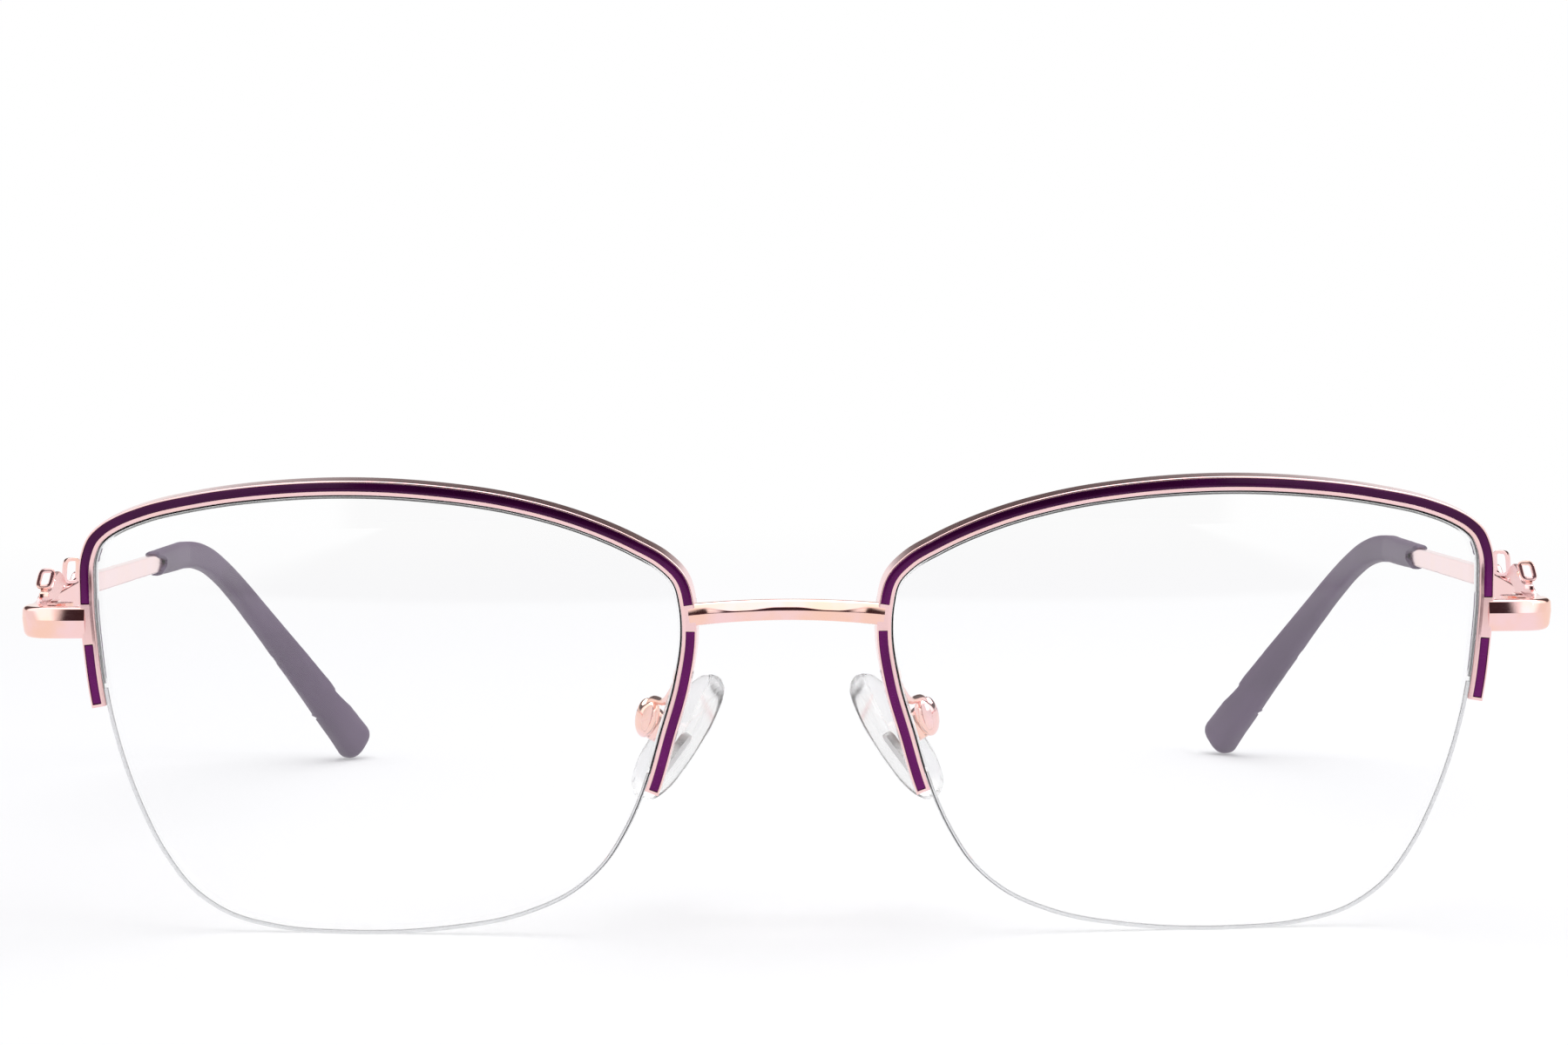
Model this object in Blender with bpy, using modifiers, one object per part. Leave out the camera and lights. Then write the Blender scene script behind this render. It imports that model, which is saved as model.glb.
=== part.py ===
"""Semi-rimless eyeglasses, standing open on a table on their lenses and temple tips.

Metres, +Z up. The front faces -Y, and right and left are those of someone who looks at the
front. The origin lies on the table, in the middle of the glasses' box. The right side is
modelled, and each of its pieces is then mirrored to the left.
"""
import math

import bmesh
import bpy
from mathutils import Matrix, Vector

# Whole frame
LENS_WIDTH = 0.0534
LENS_HEIGHT = 0.0404
LENS_GAP = 0.01877               # between the lenses, over the nose
STAND_Y = -0.06164               # where the lens bottoms stand on the table
LEAN = math.radians(5.6)         # top of the front leans forward
WRAP = math.radians(5.0)         # outer ends of the front sweep back
BASE_CURVE = 0.130               # radius of the lens's front surface
FIT_GAP = 0.00005                # clearance of soldered, glued and snapped pieces
RUN_GAP = 0.00008                # clearance of pieces that move on each other
OVERRUN = 0.002                  # how far a cutter reaches past what it cuts
WELD = 0.000005                  # points closer than this are one
SHARP_ANGLE = math.radians(35)
ROUND_SIDES = 16

# Lens edge, in half widths towards the temple and half heights upwards
LENS_EDGE_SHARES = (
    (1.000, 0.532), (0.994, 0.690), (0.975, 0.750), (0.945, 0.788), (0.905, 0.820),
    (0.820, 0.867), (0.640, 0.928), (0.370, 0.981), (0.105, 1.000), (-0.160, 0.985),
    (-0.427, 0.935), (-0.645, 0.855), (-0.839, 0.742), (-0.922, 0.676), (-0.972, 0.606),
    (-0.994, 0.500), (-1.000, 0.389), (-0.978, 0.167), (-0.929, -0.066), (-0.877, -0.303),
    (-0.812, -0.506), (-0.730, -0.677), (-0.633, -0.794), (-0.455, -0.905), (-0.190, -0.974),
    (0.144, -1.000), (0.395, -0.983), (0.564, -0.926), (0.695, -0.807), (0.777, -0.660),
    (0.864, -0.419), (0.925, -0.180), (0.967, 0.064), (0.988, 0.290))
EDGE_STEPS = 2                   # points to each span of the lens edge
RIM_START = 31.85                # spans of the edge before the rim starts, at the temple
RIM_SPANS = 21.25                # spans that the rim follows, over the top to the nose

# Lens
LENS_THICKNESS = 0.0018
LENS_GROOVE_DEPTH = 0.0004
LENS_GROOVE_WIDTH = 0.00062
BLANK_MARGIN = 0.002             # the round blank is this much larger than the lens
BLANK_RINGS = 4
BLANK_SIDES = 40

# Rim wire
RIM_WIDTH = 0.0013
RIM_DEPTH = 0.0023
RIM_CORNER = 0.00012
CHANNEL_WIDTH = 0.0008           # front channel that holds the enamel
CHANNEL_DEPTH = 0.00022
OUTER_LIP = 0.00015
SLOT_WIDTH = 0.0009              # inner groove that holds the liner
SLOT_DEPTH = 0.00042
LINER_INSET = 0.0016             # the liner stops this short of the rim's ends

# Enamel inlays, by the span of the rim where each one starts and ends
ENAMEL_CROWN = 0.00006           # how far the enamel stands proud of the rim
ENAMEL_SIDE_SPANS = 0.07, 1.20
ENAMEL_TOP_SPANS = 1.97, 17.10
ENAMEL_NASAL_SPANS = 18.13, 21.17

# Nylon line
NYLON_RADIUS = 0.00023
NYLON_SINK = 0.00016             # its middle lies this far inside the lens edge
NYLON_TUCK = 0.0011              # it runs this far into the rim's ends

# Bridge, from the lens's nose side
BRIDGE_LAP = 0.00067             # its ends reach this far past the lens, into the rim's seat
BRIDGE_HEIGHT = 0.0020
BRIDGE_DEPTH = 0.0016
BRIDGE_RIDGE = 0.0003
BRIDGE_Z = 0.00143
BRIDGE_Y = -0.0005
BRIDGE_ARCH = 0.0005
BRIDGE_BOW = 0.0006
BRIDGE_WAIST_SHARE = 0.93
BRIDGE_STEPS = 6

# Endpiece, from the lens's temple side
LUG_HEIGHT = 0.0029
LUG_THICKNESS = 0.0016
LUG_RIDGE = 0.00032
LUG_Z = -0.00281
LUG_INNER_X = 0.0004
LUG_X = 0.00615                  # middle of its return
LUG_FRONT_Y = -0.0002
LUG_BUTT_Y = 0.0028              # where it meets the temple
LUG_TURN = 0.0013                # radius of its corner
LUG_TURN_STEPS = 4

# Hinge, from the lens's temple side
HINGE_X = 0.00375
HINGE_Y = 0.0044
BARREL_RADIUS = 0.00095
BARREL_HEIGHT = 0.00088
LEAF_THICKNESS = 0.0006
LEAF_LENGTH = 0.0016
SCREW_RADIUS = 0.00042
SCREW_HEAD_RADIUS = 0.00066
SCREW_HEAD_HEIGHT = 0.00026
SCREW_SLOT_WIDTH = 0.00022

# Temple, from the lens's temple side; the bar's size is given at its slim part
BAR_THICKNESS = 0.00105
BAR_HEIGHT = 0.0019
BAR_CORNER = 0.0002
TEMPLE_FRONT_SCALE = 1.45        # how much stouter the bar's front end is
TEMPLE_FRONT_X = 0.0059
TEMPLE_X = 0.00402
TEMPLE_TUCK_Y = 0.0176           # where it has come in to the slim bar's line
TEMPLE_CREST_Y = 0.0186          # where it is highest
TEMPLE_CREST_Z = -0.0011
TEMPLE_DROP = math.radians(2.3)  # slope of the bar behind the crest, down to the back
TEMPLE_TAPER_Y = 0.0276          # where the slim bar begins
TAPER_STEPS = 8
CORE_END_SHARE = 0.62            # how far the core runs down the bend
BEND_Y = 0.0876
TIP_X = -0.01083
TIP_Y = 0.1254
TIP_SPAN_SHARES = (              # bend: share of the way in, back and down
    (0.00, 0.00, 0.00), (0.04, 0.13, 0.016), (0.09, 0.27, 0.056), (0.155, 0.43, 0.135),
    (0.24, 0.60, 0.25), (0.38, 0.745, 0.41), (0.53, 0.835, 0.56), (0.71, 0.885, 0.72),
    (0.875, 0.93, 0.87), (1.00, 1.00, 1.00))

# Temple's ornament: a scalloped plate on the bar's front, with two open petals
ORNAMENT_Y = 0.0040
ORNAMENT_LENGTH = 0.0150
ORNAMENT_HEIGHT = 0.0034
ORNAMENT_THICKNESS = 0.0006
ORNAMENT_Z = -0.0024             # its lower edge, inside the bar
ORNAMENT_SHARES = (              # its upper edge, from front to back
    (0.00, 0.66), (0.12, 0.70), (0.22, 0.94), (0.34, 1.00), (0.46, 0.90), (0.55, 0.61),
    (0.70, 0.61), (0.80, 0.84), (0.88, 0.72), (1.00, 0.30))
PETAL_LENGTHS = 0.00195, 0.0019
PETAL_HEIGHTS = 0.0020, 0.0025
PETAL_SLANT = 0.0005             # how far a petal's top leans back
PETAL_BAND = 0.00034
PETAL_THICKNESS = 0.0005
PETAL_TURN = math.radians(42)    # turned towards the front
PETAL_POINTS = 16
PETAL_Y = 0.0052, 0.0134
PETAL_Z = 0.0008, 0.00075

# Temple tip
SLEEVE_Y = 0.0650                # where its upper lip begins
SLEEVE_THICKNESS = 0.0019
SLEEVE_HEIGHT = 0.0027
SLEEVE_END_SCALE = 1.72
SLEEVE_BEND_SCALE = 1.08
SLEEVE_SIDES = 12
MOUTH_REACH = 0.0048             # depth of the mouth's notch
MOUTH_SLANT = math.radians(44)   # its lower lip starts further back
SLEEVE_END_ROUND = 0.0011
SLEEVE_CAP_SHARE = 0.62          # size of the rounded end's last ring

# Nose pads, from the lens's nose side
PAD_PLACE = 0.0008, 0.0123, -0.0111
PAD_FLARE = math.radians(34)     # the pads' tops lean together
PAD_SPLAY = math.radians(28)     # their front edges are closer than their back ones
PAD_WIDTH = 0.0070
PAD_LENGTH = 0.0134
PAD_THICKNESS = 0.0023
PAD_ROUND = 0.0008
PAD_OUTLINE_SHARES = (
    (1.00, -0.25), (0.97, 0.20), (0.78, 0.64), (0.42, 0.93), (0.00, 1.00), (-0.42, 0.93),
    (-0.78, 0.64), (-0.97, 0.20), (-1.00, -0.25), (-0.86, -0.68), (-0.48, -0.94),
    (0.00, -1.00), (0.48, -0.94), (0.86, -0.68))
INSERT_WIDTH = 0.0032
INSERT_LENGTH = 0.0078
INSERT_THICKNESS = 0.0005
TAB_WIDTH = 0.0009
TAB_LENGTH = 0.0013
TAB_REACH = 0.0027               # from the plate's middle to the tab's end
PAD_PIVOT = 0.0021               # from the plate's middle to the screw
ROCK_ROOM = 0.00025              # room for the pad to rock in its box
BOX_WALL = 0.00045
BOX_LENGTH = 0.0028
BOX_FLOOR = 0.0005
BOX_ROUND = 0.00045
PAD_SCREW_RADIUS = 0.00034
PAD_SCREW_HEAD = 0.00056
PAD_SCREW_HEAD_HEIGHT = 0.0002
PAD_SCREW_SIDES = 12
ARM_RADIUS = 0.00045
ARM_ROUTE = (                    # from the rim's back to the pad's box
    (-0.0002, 0.0010, -0.0037), (0.0001, 0.0022, -0.0042), (0.0006, 0.0040, -0.0050),
    (0.0013, 0.0062, -0.0062), (0.0024, 0.0082, -0.0075), (0.0038, 0.0092, -0.0087))
ARM_SCALES = 1, 1, 1, 1, 1.1, 2.2, 2.7, 1.6   # how stout it is at each place and at its end
ARM_STEPS = 2

COLLECTION_NAME = "semi_rimless_eyeglasses"
MIRROR = Matrix.Diagonal((-1, 1, 1, 1))
COLOURS = {                      # colour, roughness, metallic
    "rose_gold": ((0.86, 0.55, 0.48, 1), 0.12, 1.0),
    "purple_enamel": ((0.09, 0.006, 0.08, 1), 0.12, 0.0),
    "clear_lens": ((0.96, 0.98, 1.0, 1), 0.03, 0.0),
    "clear_nylon": ((0.88, 0.90, 0.94, 1), 0.2, 0.0),
    "clear_pad": ((0.93, 0.94, 0.96, 1), 0.25, 0.0),
    "steel": ((0.62, 0.60, 0.60, 1), 0.25, 1.0),
    "purple_sleeve": ((0.095, 0.065, 0.12, 1), 0.5, 0.0),
}


# Scene and materials

def clear_scene():
    for item in list(bpy.data.objects):
        bpy.data.objects.remove(item, do_unlink=True)


def make_collection(name):
    collection = bpy.data.collections.new(name)
    bpy.context.scene.collection.children.link(collection)
    return collection


def make_material(name):
    colour, roughness, metallic = COLOURS[name]
    material = bpy.data.materials.new(name)
    material.use_nodes = True
    shader = material.node_tree.nodes["Principled BSDF"]
    shader.inputs["Base Color"].default_value = colour
    shader.inputs["Roughness"].default_value = roughness
    shader.inputs["Metallic"].default_value = metallic
    return material


def make_empty(name, matrix):
    empty = bpy.data.objects.new(name, None)
    parts.objects.link(empty)
    empty.matrix_world = matrix
    return empty


def add_object(name, mesh, material, frame, matrix=None):
    """A named piece, placed in its frame empty; without a matrix it lies on the frame."""
    item = bpy.data.objects.new(name, mesh)
    parts.objects.link(item)
    item.data.materials.clear()
    item.data.materials.append(materials[material])
    item.parent = frame
    item.matrix_parent_inverse = Matrix.Identity(4)
    item.matrix_basis = matrix or Matrix.Identity(4)
    pieces.append(item)
    return item


def add_cutter(name, mesh, frame, matrix=None):
    """A guide solid that cuts or joins a piece and isn't a piece itself."""
    item = bpy.data.objects.new(name, mesh)
    cutters.objects.link(item)
    item.hide_render = True
    item.display_type = 'WIRE'
    item.parent = frame
    item.matrix_parent_inverse = Matrix.Identity(4)
    item.matrix_basis = matrix or Matrix.Identity(4)
    return item


def boolean(item, operation, *others):
    for other in others:
        modifier = item.modifiers.new(other.name, 'BOOLEAN')
        modifier.operation = operation
        modifier.object = other


def smooth(mesh):
    mesh.shade_smooth()
    mesh.set_sharp_from_angle(angle=SHARP_ANGLE)


# Shapes

def smooth_route(points, steps, closed):
    """Points on a smooth curve through the given ones, with steps to each span."""
    points = [Vector(point) for point in points]
    count = len(points)
    spans = count if closed else count - 1

    def point(index):
        return points[index % count] if closed else points[min(max(index, 0), count - 1)]

    def slope(index):
        before = point(index) - point(index - 1)
        after = point(index + 1) - point(index)
        if before.length == 0:
            return after / after.length
        if after.length == 0:
            return before / before.length
        return ((before / before.length) * after.length
                + (after / after.length) * before.length) / (before.length + after.length)

    route = []
    for span in range(spans):
        start, end = point(span), point(span + 1)
        length = (end - start).length
        for step in range(steps):
            t = step / steps
            route.append(start * (2 * t**3 - 3 * t**2 + 1) + end * (3 * t**2 - 2 * t**3)
                         + slope(span) * length * (t**3 - 2 * t**2 + t)
                         + slope(span + 1) * length * (t**3 - t**2))
    if not closed:
        route.append(points[-1])
    return route


def flat_spline(curve, outline):
    spline = curve.splines.new('POLY')
    spline.points.add(len(outline) - 1)
    for place, (x, y) in zip(spline.points, outline):
        place.co = (x, y, 0, 1)
    spline.use_cyclic_u = True


def curve_mesh(name, curve):
    """The mesh of a curve, with its caps welded on and its faces pointing out."""
    holder = bpy.data.objects.new(name, curve)
    cutters.objects.link(holder)
    depsgraph = bpy.context.evaluated_depsgraph_get()
    mesh = bpy.data.meshes.new_from_object(holder.evaluated_get(depsgraph))
    bpy.data.objects.remove(holder, do_unlink=True)
    body = bmesh.new()
    body.from_mesh(mesh)
    bmesh.ops.remove_doubles(body, verts=body.verts, dist=WELD)
    bmesh.ops.recalc_face_normals(body, faces=body.faces)
    body.to_mesh(mesh)
    body.free()
    smooth(mesh)
    return mesh


def sweep(name, route, section, closed=False, scales=None):
    """A section, given as (sideways, upwards), carried along a route with its Z kept up."""
    profile = bpy.data.curves.new(name + "_section", 'CURVE')
    profile.dimensions = '2D'
    flat_spline(profile, section)
    profile_holder = bpy.data.objects.new(name + "_section", profile)
    cutters.objects.link(profile_holder)

    curve = bpy.data.curves.new(name, 'CURVE')
    curve.dimensions = '3D'
    curve.twist_mode = 'Z_UP'
    curve.bevel_mode = 'OBJECT'
    curve.bevel_object = profile_holder
    curve.use_fill_caps = not closed
    spline = curve.splines.new('POLY')
    spline.points.add(len(route) - 1)
    spline.use_cyclic_u = closed
    for index, place in enumerate(route):
        spline.points[index].co = (*place, 1)
        spline.points[index].radius = scales[index] if scales else 1
    mesh = curve_mesh(name, curve)
    bpy.data.objects.remove(profile_holder, do_unlink=True)
    return mesh


def wire(name, route, radius, scales):
    """A round wire along a route, so much stouter at each of its points."""
    curve = bpy.data.curves.new(name, 'CURVE')
    curve.dimensions = '3D'
    curve.bevel_depth = radius
    curve.bevel_resolution = 2
    curve.use_fill_caps = True
    spline = curve.splines.new('POLY')
    spline.points.add(len(route) - 1)
    for place, point, scale in zip(spline.points, route, scales):
        place.co = (*point, 1)
        place.radius = scale
    return curve_mesh(name, curve)


def plate(name, outline, thickness, rounding=0):
    """A flat outline with thickness, centred on its plane, its edges rounded."""
    curve = bpy.data.curves.new(name, 'CURVE')
    curve.dimensions = '2D'
    curve.fill_mode = 'BOTH'
    curve.extrude = thickness / 2 - rounding
    curve.bevel_depth = rounding
    curve.bevel_resolution = 2
    curve.offset = -rounding
    flat_spline(curve, outline)
    return curve_mesh(name, curve)


def block(size, centre, rounding=0):
    """A box of the given size, its edges rounded."""
    body = bmesh.new()
    bmesh.ops.create_cube(body, size=1, matrix=Matrix.Translation(centre) @ Matrix.Diagonal((*size, 1)))
    if rounding:
        bmesh.ops.bevel(body, geom=body.edges, offset=rounding, segments=2, profile=0.5,
                        affect='EDGES')
    mesh = bpy.data.meshes.new("block")
    body.to_mesh(mesh)
    body.free()
    smooth(mesh)
    return mesh


def rod(radius, bottom, top, sides=ROUND_SIDES, centre=(0, 0)):
    """An upright cylinder."""
    body = bmesh.new()
    place = Matrix.Translation((*centre, (bottom + top) / 2))
    bmesh.ops.create_cone(body, cap_ends=True, segments=sides, radius1=radius, radius2=radius,
                          depth=top - bottom, matrix=place)
    mesh = bpy.data.meshes.new("rod")
    body.to_mesh(mesh)
    body.free()
    smooth(mesh)
    return mesh


def turned(profile, sides):
    """A profile of (radius, height) pairs, top to bottom, turned about Z."""
    mesh = bpy.data.meshes.new("turned")
    count = len(profile)
    mesh.from_pydata([(radius, 0, height) for radius, height in profile],
                     [(index, index + 1) for index in range(count - 1)], [])
    holder = bpy.data.objects.new("turned", mesh)
    cutters.objects.link(holder)
    modifier = holder.modifiers.new("turn", 'SCREW')
    modifier.steps = sides
    modifier.render_steps = sides
    modifier.use_merge_vertices = True
    modifier.merge_threshold = WELD
    depsgraph = bpy.context.evaluated_depsgraph_get()
    result = bpy.data.meshes.new_from_object(holder.evaluated_get(depsgraph))
    bpy.data.objects.remove(holder, do_unlink=True)
    smooth(result)
    return result


def chamfered(width, height, corner):
    """A rectangular section with its corners cut."""
    x, y = width / 2, height / 2
    return [(x, corner - y), (x, y - corner), (x - corner, y), (corner - x, y),
            (-x, y - corner), (-x, corner - y), (corner - x, -y), (x - corner, -y)]


def oval(width, height, sides):
    """An oval section with flattened sides."""
    ring = []
    for index in range(sides):
        angle = 2 * math.pi * (index + 0.5) / sides
        ring.append((width / 2 * math.copysign(abs(math.cos(angle))**0.75, math.cos(angle)),
                     height / 2 * math.copysign(abs(math.sin(angle))**0.75, math.sin(angle))))
    return ring


# Frames

def sag(x, y):
    """How far the lens's front surface lies behind its middle."""
    return BASE_CURVE - math.sqrt(BASE_CURVE**2 - x * x - y * y)


def lens_matrix():
    """The lens plane: X towards the temple, Y up, Z forward, at the middle of the lens."""
    turn = (Matrix.Rotation(LEAN, 4, 'X') @ Matrix.Rotation(WRAP, 4, 'Z')
            @ Matrix.Rotation(math.radians(90), 4, 'X'))
    corners = [turn @ Vector((x, y, -sag(x, y))) for x, y in lens_edge]
    lowest = min(corners, key=lambda corner: corner.z)
    middle_x = LENS_GAP / 2 - min(corner.x for corner in corners)
    return Matrix.Translation((middle_x, STAND_Y - lowest.y, -lowest.z)) @ turn


def edge_outline():
    half_sizes = [(x * LENS_WIDTH / 2, y * LENS_HEIGHT / 2, 0) for x, y in LENS_EDGE_SHARES]
    return [(place.x, place.y) for place in smooth_route(half_sizes, EDGE_STEPS, closed=True)]


def edge_route(first_span, spans, outwards, forwards):
    """Points along the lens edge, so far outside it and in front of its middle surface.

    Spans are counted from where the rim starts, and may be fractions.
    """
    start = (RIM_START + first_span) * EDGE_STEPS
    end = start + spans * EDGE_STEPS
    places = [start, *range(math.floor(start) + 1, math.ceil(end)), end]
    return [edge_place(place, outwards, forwards) for place in places]


def edge_place(place, outwards, forwards):
    count = len(lens_edge)
    index = math.floor(place)
    share = place - index
    ring = [Vector(lens_edge[(index + step) % count]) for step in range(-1, 3)]
    edge = ring[1].lerp(ring[2], share)
    spans = [(ring[step + 1] - ring[step]).normalized() for step in range(3)]
    along = (spans[0] + spans[1]).lerp(spans[1] + spans[2], share).normalized()
    place = edge + Vector((along.y, -along.x)) * outwards
    return Vector((place.x, place.y, forwards - LENS_THICKNESS / 2 - sag(edge.x, edge.y)))


def spans_of(length):
    """How many spans of the lens edge a length covers, near the rim's ends."""
    ring = edge_route(0, 1, 0, 0)
    return length / sum((ring[i + 1] - ring[i]).length for i in range(len(ring) - 1))


def lens_side(shares):
    """A place of the lens edge, halfway through the lens."""
    x, y = shares[0] * LENS_WIDTH / 2, shares[1] * LENS_HEIGHT / 2
    return lens_frame.matrix_world @ Vector((x, y, -sag(x, y) - LENS_THICKNESS / 2))


def by_nose(x, y, z):
    """A place that is given from the lens's nose side."""
    return nose_side + Vector((x, y, z))


def by_temple(x, y, z):
    """A place that is given from the lens's temple side."""
    return temple_side + Vector((x, y, z))


# Rim, enamel, liner, nylon line and lens

def rim_section():
    """The rim's section, outwards and forwards: front channel outside, liner slot inside."""
    x, y = RIM_WIDTH / 2, RIM_DEPTH / 2
    channel_out = x - OUTER_LIP
    channel_in = channel_out - CHANNEL_WIDTH
    slot = SLOT_WIDTH / 2
    return [(x, RIM_CORNER - y), (x, y - RIM_CORNER / 2), (x - RIM_CORNER / 2, y),
            (channel_out, y), (channel_out, y - CHANNEL_DEPTH), (channel_in, y - CHANNEL_DEPTH),
            (channel_in, y), (RIM_CORNER - x, y), (-x, y - RIM_CORNER),
            (-x, slot), (SLOT_DEPTH - x, slot), (SLOT_DEPTH - x, -slot), (-x, -slot),
            (-x, RIM_CORNER - y), (RIM_CORNER - x, -y), (x - RIM_CORNER, -y)]


def rim_offset():
    return FIT_GAP + RIM_WIDTH / 2


def build_rim():
    route = edge_route(0, RIM_SPANS, rim_offset(), 0)
    add_object("rim", sweep("rim", route, rim_section()), "rose_gold", lens_frame)
    box = chamfered(RIM_WIDTH + 2 * FIT_GAP, RIM_DEPTH + 2 * FIT_GAP, RIM_CORNER / 2)
    reach = edge_route(-1, RIM_SPANS + 2, rim_offset(), 0)
    return add_cutter("rim_seat", sweep("rim_seat", reach, box), lens_frame)


def build_enamel():
    width = CHANNEL_WIDTH - FIT_GAP
    middle = FIT_GAP + RIM_WIDTH - OUTER_LIP - CHANNEL_WIDTH / 2
    floor = RIM_DEPTH / 2 - CHANNEL_DEPTH + FIT_GAP / 2
    top = RIM_DEPTH / 2
    section = [(width / 2, floor), (width / 2, top), (width / 4, top + ENAMEL_CROWN),
               (-width / 4, top + ENAMEL_CROWN), (-width / 2, top), (-width / 2, floor)]
    for name, (first, last) in (("side", ENAMEL_SIDE_SPANS), ("top", ENAMEL_TOP_SPANS),
                                ("nasal", ENAMEL_NASAL_SPANS)):
        route = edge_route(first, last - first, middle, 0)
        mesh = sweep("enamel", route, section)
        add_object("enamel_" + name, mesh, "purple_enamel", lens_frame)


def build_liner():
    base_in, base_out = FIT_GAP, SLOT_DEPTH
    base = SLOT_WIDTH / 2 - FIT_GAP
    rib = LENS_GROOVE_WIDTH / 2 - 2 * FIT_GAP
    rib_tip = 2 * FIT_GAP - LENS_GROOVE_DEPTH
    section = [(base_out, -base), (base_out, base), (base_in, base), (base_in, rib),
               (rib_tip, rib / 2), (rib_tip, -rib / 2), (base_in, -rib), (base_in, -base)]
    inset = spans_of(LINER_INSET)
    route = edge_route(inset, RIM_SPANS - 2 * inset, 0, 0)
    add_object("rim_liner", sweep("rim_liner", route, section), "clear_nylon", lens_frame)


def build_nylon_line():
    tuck = spans_of(NYLON_TUCK)
    spans = len(LENS_EDGE_SHARES) - RIM_SPANS
    route = edge_route(RIM_SPANS - tuck, spans + 2 * tuck, -NYLON_SINK, 0)
    section = [(NYLON_RADIUS * math.cos(angle), NYLON_RADIUS * math.sin(angle))
               for angle in (2 * math.pi * index / 8 for index in range(8))]
    add_object("nylon_line", sweep("nylon_line", route, section), "clear_nylon", lens_frame)


def build_lens():
    """A round blank with two curved faces, cut to the lens edge and grooved."""
    reach = math.hypot(LENS_WIDTH, LENS_HEIGHT) / 2 + BLANK_MARGIN
    radii = [reach * ring / BLANK_RINGS for ring in range(BLANK_RINGS + 1)]
    front = [(radius, -sag(radius, 0)) for radius in radii]
    back = [(radius, -sag(radius, 0) - LENS_THICKNESS) for radius in reversed(radii)]
    lens = add_object("lens", turned(front + back, BLANK_SIDES), "clear_lens", lens_frame)
    depth = 2 * (LENS_THICKNESS + sag(reach, 0) + OVERRUN)
    outline = add_cutter("lens_outline", plate("lens_outline", lens_edge, depth), lens_frame)
    boolean(lens, 'INTERSECT', outline)
    groove = LENS_GROOVE_WIDTH / 2
    section = [(OVERRUN / 4, -groove), (OVERRUN / 4, groove),
               (-LENS_GROOVE_DEPTH, groove), (-LENS_GROOVE_DEPTH, -groove)]
    route = edge_route(0, len(LENS_EDGE_SHARES), 0, 0)[:-1]
    cutter = add_cutter("lens_groove", sweep("lens_groove", route, section, closed=True), lens_frame)
    boolean(lens, 'DIFFERENCE', cutter)


# Bridge and endpiece

def build_bridge(rim_seat):
    height, depth, ridge = BRIDGE_HEIGHT / 2, BRIDGE_DEPTH / 2, BRIDGE_RIDGE
    chamfer = depth / 4
    section = [(depth - chamfer, -height), (depth, chamfer - height), (depth + ridge, 0),
               (depth, height - chamfer), (depth - chamfer, height), (chamfer - depth, height),
               (-depth, height - chamfer), (-depth, chamfer - height), (chamfer - depth, -height)]
    end = by_nose(-BRIDGE_LAP, BRIDGE_Y, BRIDGE_Z)
    route, scales = [], []
    for step in range(-BRIDGE_STEPS, BRIDGE_STEPS + 1):
        share = step / BRIDGE_STEPS
        rise = 1 - share * share
        route.append((end.x * share, end.y - BRIDGE_BOW * rise, end.z + BRIDGE_ARCH * rise))
        scales.append(1 - (1 - BRIDGE_WAIST_SHARE) * rise)
    mesh = sweep("bridge", route, section, scales=scales)
    bridge = add_object("bridge", mesh, "rose_gold", centre_frame)
    other_seat = add_cutter("rim_seat_left", rim_seat.data.copy(), None)
    other_seat.data.transform(MIRROR @ lens_frame.matrix_world)
    other_seat.data.flip_normals()
    boolean(bridge, 'DIFFERENCE', rim_seat, other_seat)


def build_endpiece(rim_seat):
    height, thickness = LUG_HEIGHT / 2, LUG_THICKNESS / 2
    chamfer = LUG_THICKNESS / 4
    section = [(thickness - chamfer, -height), (thickness, chamfer - height),
               (thickness + LUG_RIDGE, chamfer / 2), (thickness, height - chamfer),
               (thickness - chamfer, height), (-thickness, height), (-thickness, -height)]
    route = [(LUG_INNER_X, LUG_FRONT_Y)]
    for step in range(LUG_TURN_STEPS + 1):
        angle = math.radians(90) * step / LUG_TURN_STEPS
        route.append((LUG_X - LUG_TURN + LUG_TURN * math.sin(angle),
                      LUG_FRONT_Y + LUG_TURN - LUG_TURN * math.cos(angle)))
    route.append((LUG_X, LUG_BUTT_Y))
    route = [by_temple(x, y, LUG_Z) for x, y in route]
    endpiece = add_object("endpiece", sweep("endpiece", route, section), "rose_gold", centre_frame)
    boolean(endpiece, 'DIFFERENCE', rim_seat)


# Hinge

def hinge_parts():
    """Heights of the three barrels, bottom and top, from the hinge's middle."""
    half = BARREL_HEIGHT / 2
    step = BARREL_HEIGHT + RUN_GAP
    return [(middle - half, middle + half) for middle in (-step, 0, step)]


def screw_profile(grow=0):
    """The hinge screw, head up, from the hinge's middle."""
    top = hinge_parts()[2][1]
    bottom = hinge_parts()[0][0]
    seat = top - SCREW_HEAD_HEIGHT
    throat = seat - (SCREW_HEAD_RADIUS - SCREW_RADIUS)
    return [(0, top + grow), (SCREW_HEAD_RADIUS + grow, top + grow),
            (SCREW_HEAD_RADIUS + grow, seat - grow / 2), (SCREW_RADIUS + grow, throat - grow / 2),
            (SCREW_RADIUS + grow, bottom - grow), (0, bottom - grow)]


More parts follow.
